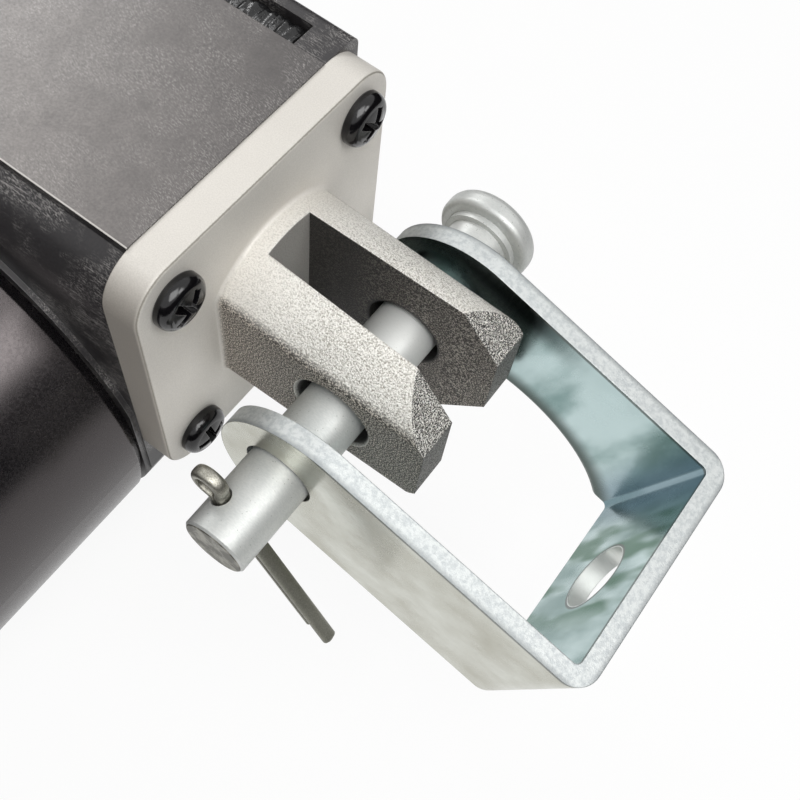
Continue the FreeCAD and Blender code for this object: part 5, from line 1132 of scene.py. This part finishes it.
class ACTUATOR_OT_pin(Operator):
    """Finish of the clevis pin"""

    bl_idname = "actuator.pin"
    bl_label = "Clevis pin"

    def execute(self, context):
        sizes, colours, _ = groups()
        # Turned steel, zinc plated: silver with a soft sheen and fine rings round the pin, with painted light
        # between the prongs, and dull with painted shade on its sheared end.
        satin = finish(
            "turned_zinc_plated_steel", colours.pin, linear("#BCBFBD"), metallic=0.42, roughness=0.46,
            grain=0.15, relief=0.004, patch=5.0, lines=(0.4, 1.0, 0.4), cloudy=0.5, edge=linear("#8B8C87"),
            edge_width=0.15, speck=(linear("#858780"), 0.11, 0.07))
        put, nodes, tone = reopened(satin)
        along = put("SeparateXYZ", {0: nodes["place"].outputs["Object"]}).node.outputs["Y"]
        near_end = put("Math", {0: along, 1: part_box("clevis_pin")[1].y - 0.1 * MM}, operation="GREATER_THAN")
        # The sheared end is dull with torn patches; its dark tone is partly painted shade
        torn = put("TexNoise", {
            "Vector": nodes["place"].outputs["Object"], "Scale": per_mm(1.8), "Detail": 5.0,
            "Roughness": 0.7})
        torn = put("MapRange", {"Value": torn, "From Min": 0.42, "From Max": 0.62}, **SMOOTH)
        sheared = put("Mix", {0: torn, 6: rgba(colours.pin_end_and_shade), 7: rgba(colours.pin_torn)}, data_type="RGBA")
        # Painted light on the pin between the prongs, where the fork shades it
        aside = put("Math", {0: along}, operation="ABSOLUTE")
        painted_light_between = put("MapRange", {
            "Value": aside, "From Min": sizes.slot_half + 1 * MM, "From Max": sizes.slot_half, "To Max": 0.6})
        tone = put("Mix", {0: painted_light_between, 6: tone, 7: rgba(colours.pin_painted_light)}, data_type="RGBA")
        tone = put("Mix", {0: near_end, 6: tone, 7: sheared}, data_type="RGBA")
        link(tone, nodes["skin"], "Base Color")
        dress(["clevis_pin"], satin)
        return {"FINISHED"}


class ACTUATOR_OT_cotter(Operator):
    """Half-round wire cotter with its eye"""

    bl_idname = "actuator.cotter"
    bl_label = "Cotter pin"

    def execute(self, context):
        sizes, colours, _ = groups()
        # Half-round steel wire, drawn: grey with a warm sheen on the eye; painted shade darkens the legs below
        # the pin.
        wire = finish(
            "drawn_half_round_wire", colours.cotter, linear("#7C7A72"), metallic=1.0, roughness=0.42,
            grain=0.16, relief=0.025, patch=4.0, edge=linear("#B5B2AA"), edge_width=0.12)
        put, nodes, tone = reopened(wire)
        # Painted shade on the legs, growing below the pin
        down = put("SeparateXYZ", {0: nodes["place"].outputs["Object"]}).node.outputs["Z"]
        down = put("MapRange", {"Value": down, "From Min": 2 * MM, "From Max": -4 * MM, "To Max": 0.6})
        tone = put("Mix", {0: down, 6: tone, 7: rgba(colours.cotter_leg_shade)}, data_type="RGBA")
        link(tone, nodes["skin"], "Base Color")
        low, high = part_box("cotter_pin")
        lean = sizes.cotter_turn
        up = np.array([math.sin(lean), 0, math.cos(lean)])
        across = np.array([math.cos(lean), 0, -math.sin(lean)])
        along_pin = np.array([0.0, 1.0, 0.0])
        middle = np.array([0, (low.y + high.y) / 2, 0])
        gap, inner = sizes.cotter_slit / 2, sizes.cotter_eye / 2
        short = cotter_side(sizes.cotter_tip - sizes.cotter_step, gap, inner, sizes.cotter_eye_at)
        long = cotter_side(sizes.cotter_tip, gap, inner, sizes.cotter_eye_at)
        flat = np.vstack([short, long[-2::-1] * np.array([-1, 1])])
        step = np.gradient(flat, axis=0)
        step /= np.linalg.norm(step, axis=1)[:, None]
        out = np.stack([step[:, 1], -step[:, 0]], -1)
        # The legs fill the pin's hole, the eye is rounder; both tips are eased over the last half millimetre.
        eye = smooth_step((flat[:, 1] - (sizes.cotter_eye_at - 2.6 * inner)) / (1.4 * inner))
        width = sizes.cotter_wire / 2 * (1 - eye) + 0.85 * sizes.cotter_eye_wire * eye
        height = (sizes.cotter_wire / 2 - gap) * (1 - eye) + sizes.cotter_eye_wire * eye
        done = np.concatenate([[0], np.cumsum(np.linalg.norm(np.diff(flat, axis=0), axis=1))])
        eased = 0.5 * MM
        tips = np.sqrt(np.clip(np.minimum(done, done[-1] - done) / eased, 0.3, 1))
        path = middle + flat[:, :1] * across + flat[:, 1:] * up
        outward = out[:, :1] * across + out[:, 1:] * up
        bar = bead(path, outward, width * tips, height * tips, along_pin)
        piece("cotter_half_round", bar, wire, "bracket", "cotter_pin")
        return {"FINISHED"}


def white_to_the_eye(put):
    """Share of rays from the camera, and of those that reflections and clear matter send on."""
    rays = put("LightPath").node.outputs
    seen = put("Math", {0: rays["Is Camera Ray"], 1: rays["Is Glossy Ray"]}, operation="MAXIMUM")
    return put("Math", {0: seen, 1: rays["Is Transmission Ray"]}, operation="MAXIMUM")


class ACTUATOR_OT_stage(Operator):
    """Floor, light and camera"""

    bl_idname = "actuator.stage"
    bl_label = "Stage"

    def execute(self, context):
        scene = context.scene
        _, _, stage = groups()
        scene.view_settings.view_transform = "Standard"
        lowest = SOLID_BOX[0][2] - stage.floor_gap
        # White paper: white to the eye and in reflections, with faint fibres and a share of real light so
        # that the shadow stays.
        paper = bpy.data.materials.new("white_paper")
        put = emptied(paper)
        glowing = put("Math", {0: white_to_the_eye(put), 1: stage.glow}, operation="MULTIPLY")
        fibres = put("TexNoise", {"Scale": per_mm(1.5), "Detail": 4.0})
        tone = put("Mix", {
            0: fibres, 6: rgba(linear("#F4F4F2")), 7: rgba(linear("#FAFAFA"))}, data_type="RGBA")
        matt = put("BsdfDiffuse", {"Color": tone})
        glow = put("Emission", {"Color": (1, 1, 1, 1), "Strength": 1.0})
        mixed = put("MixShader", {0: glowing, 1: matt, 2: glow})
        put("OutputMaterial", {"Surface": mixed})
        far = stage.floor_half
        corners = np.array([[x, y, lowest] for x, y in ((-far, -far), (far, -far), (far, far), (-far, far))])
        floor = object_of("floor", (corners, np.array([[0, 1, 2, 3]]), np.empty((0, 3), int)), paper)
        # Even light from all round; the eye and reflections see white.
        scene.world = bpy.data.worlds.new("studio")
        put = emptied(scene.world)
        strength = put("MapRange", {"Value": white_to_the_eye(put), "To Min": stage.fill, "To Max": 1.0})
        sky = put("Background", {"Color": (1, 1, 1, 1), "Strength": strength})
        put("OutputWorld", {"Surface": sky})
        for name, watts, at, side in (
            ("key", stage.key, stage.key_at, stage.key_size),
            ("rim", stage.rim, stage.rim_at, stage.rim_size),
            ("back", stage.back, stage.back_at, stage.back_size),
        ):
            lamp = bpy.data.lights.new(name, "AREA")
            lamp.size = side
            lamp.energy = watts
            light = bpy.data.objects.new(name, lamp)
            scene.collection.objects.link(light)
            aim = (-Vector(at)).to_track_quat("-Z", "Y").to_matrix().to_4x4()
            light.matrix_world = Matrix.Translation(at) @ aim
        # Low dark cards in a ring round the part that dark bands in the reflections come from, paler at their
        # top: x = r cos a, y = r sin a about their middle, z from the floor to their height.
        card = bpy.data.materials.new("dark_card")
        put = emptied(card)
        rise = put("TexCoord").node.outputs["Object"]
        rise = put("SeparateXYZ", {0: rise}).node.outputs["Z"]
        fade = put("MapRange", {
            "Value": rise, "From Min": lowest + 0.4 * stage.cards_height,
            "From Max": lowest + stage.cards_height})
        tone = put("Mix", {0: fade, 6: rgba(linear("#0C0C0C")), 7: rgba(linear("#4A4A4A"))}, data_type="RGBA")
        matt = put("BsdfDiffuse", {"Color": tone})
        put("OutputMaterial", {"Surface": matt})
        sides = 96
        turn = np.linspace(0, 2 * math.pi, sides, endpoint=False)
        heights = np.array([[lowest], [lowest + stage.cards_height]])
        ring_x = stage.cards_at[0] + stage.cards * np.cos(turn)
        ring_y = stage.cards_at[1] + stage.cards * np.sin(turn)
        wall = np.stack(np.broadcast_arrays(ring_x, ring_y, heights), -1)
        cards = object_of("cards", shell(wall, capped=False), card)
        cards.visible_camera = False
        cards.visible_shadow = False
        lens = bpy.data.cameras.new("camera")
        lens.sensor_fit = "HORIZONTAL"
        lens.sensor_width = stage.sensor
        lens.lens = stage.focal
        lens.clip_start, lens.clip_end = CLIP
        camera = bpy.data.objects.new("camera", lens)
        scene.collection.objects.link(camera)
        ahead = Vector(stage.ahead).normalized()
        right = Vector(stage.right)
        right = (right - ahead * right.dot(ahead)).normalized()
        turn = Matrix((right, right.cross(ahead), -ahead)).transposed()
        camera.matrix_world = Matrix.Translation(stage.eye) @ turn.to_4x4()
        scene.camera = camera
        return {"FINISHED"}


PIECES = (
    ACTUATOR_OT_stage, ACTUATOR_OT_clevis, ACTUATOR_OT_screws, ACTUATOR_OT_housing, ACTUATOR_OT_motor,
    ACTUATOR_OT_motor_inside, ACTUATOR_OT_tube, ACTUATOR_OT_rod, ACTUATOR_OT_spindle, ACTUATOR_OT_bearings,
    ACTUATOR_OT_sensors, ACTUATOR_OT_bracket, ACTUATOR_OT_pin, ACTUATOR_OT_cotter,
)


class ACTUATOR_PT_panel(Panel):
    """Lists the pieces of the actuator"""

    bl_label = "Linear Actuator"
    bl_idname = "ACTUATOR_PT_panel"
    bl_space_type = "VIEW_3D"
    bl_region_type = "UI"
    bl_category = "Actuator"

    def draw(self, context):
        for made in PIECES:
            self.layout.operator(made.bl_idname)
        for group in groups():
            box = self.layout.box()
            for name in group.__annotations__:
                box.prop(group, name)


CLASSES = (ActuatorSizes, ActuatorColours, ActuatorStage, *PIECES, ACTUATOR_PT_panel)


def register():
    """Registers the classes and hangs the property groups on the scene."""
    for made in CLASSES:
        bpy.utils.register_class(made)
    bpy.types.Scene.actuator_sizes = PointerProperty(type=ActuatorSizes)
    bpy.types.Scene.actuator_colours = PointerProperty(type=ActuatorColours)
    bpy.types.Scene.actuator_stage = PointerProperty(type=ActuatorStage)


def unregister():
    """Takes the property groups and classes away again."""
    del bpy.types.Scene.actuator_sizes
    del bpy.types.Scene.actuator_colours
    del bpy.types.Scene.actuator_stage
    for made in reversed(CLASSES):
        bpy.utils.unregister_class(made)


def main():
    """Makes the pieces in order."""
    register()
    bpy.ops.actuator.stage()
    bpy.ops.actuator.clevis()
    bpy.ops.actuator.screws()
    bpy.ops.actuator.housing()
    bpy.ops.actuator.motor()
    bpy.ops.actuator.motor_inside()
    bpy.ops.actuator.tube()
    bpy.ops.actuator.rod()
    bpy.ops.actuator.spindle()
    bpy.ops.actuator.bearings()
    bpy.ops.actuator.sensors()
    bpy.ops.actuator.bracket()
    bpy.ops.actuator.pin()
    bpy.ops.actuator.cotter()


if __name__ == "__main__":
    main()
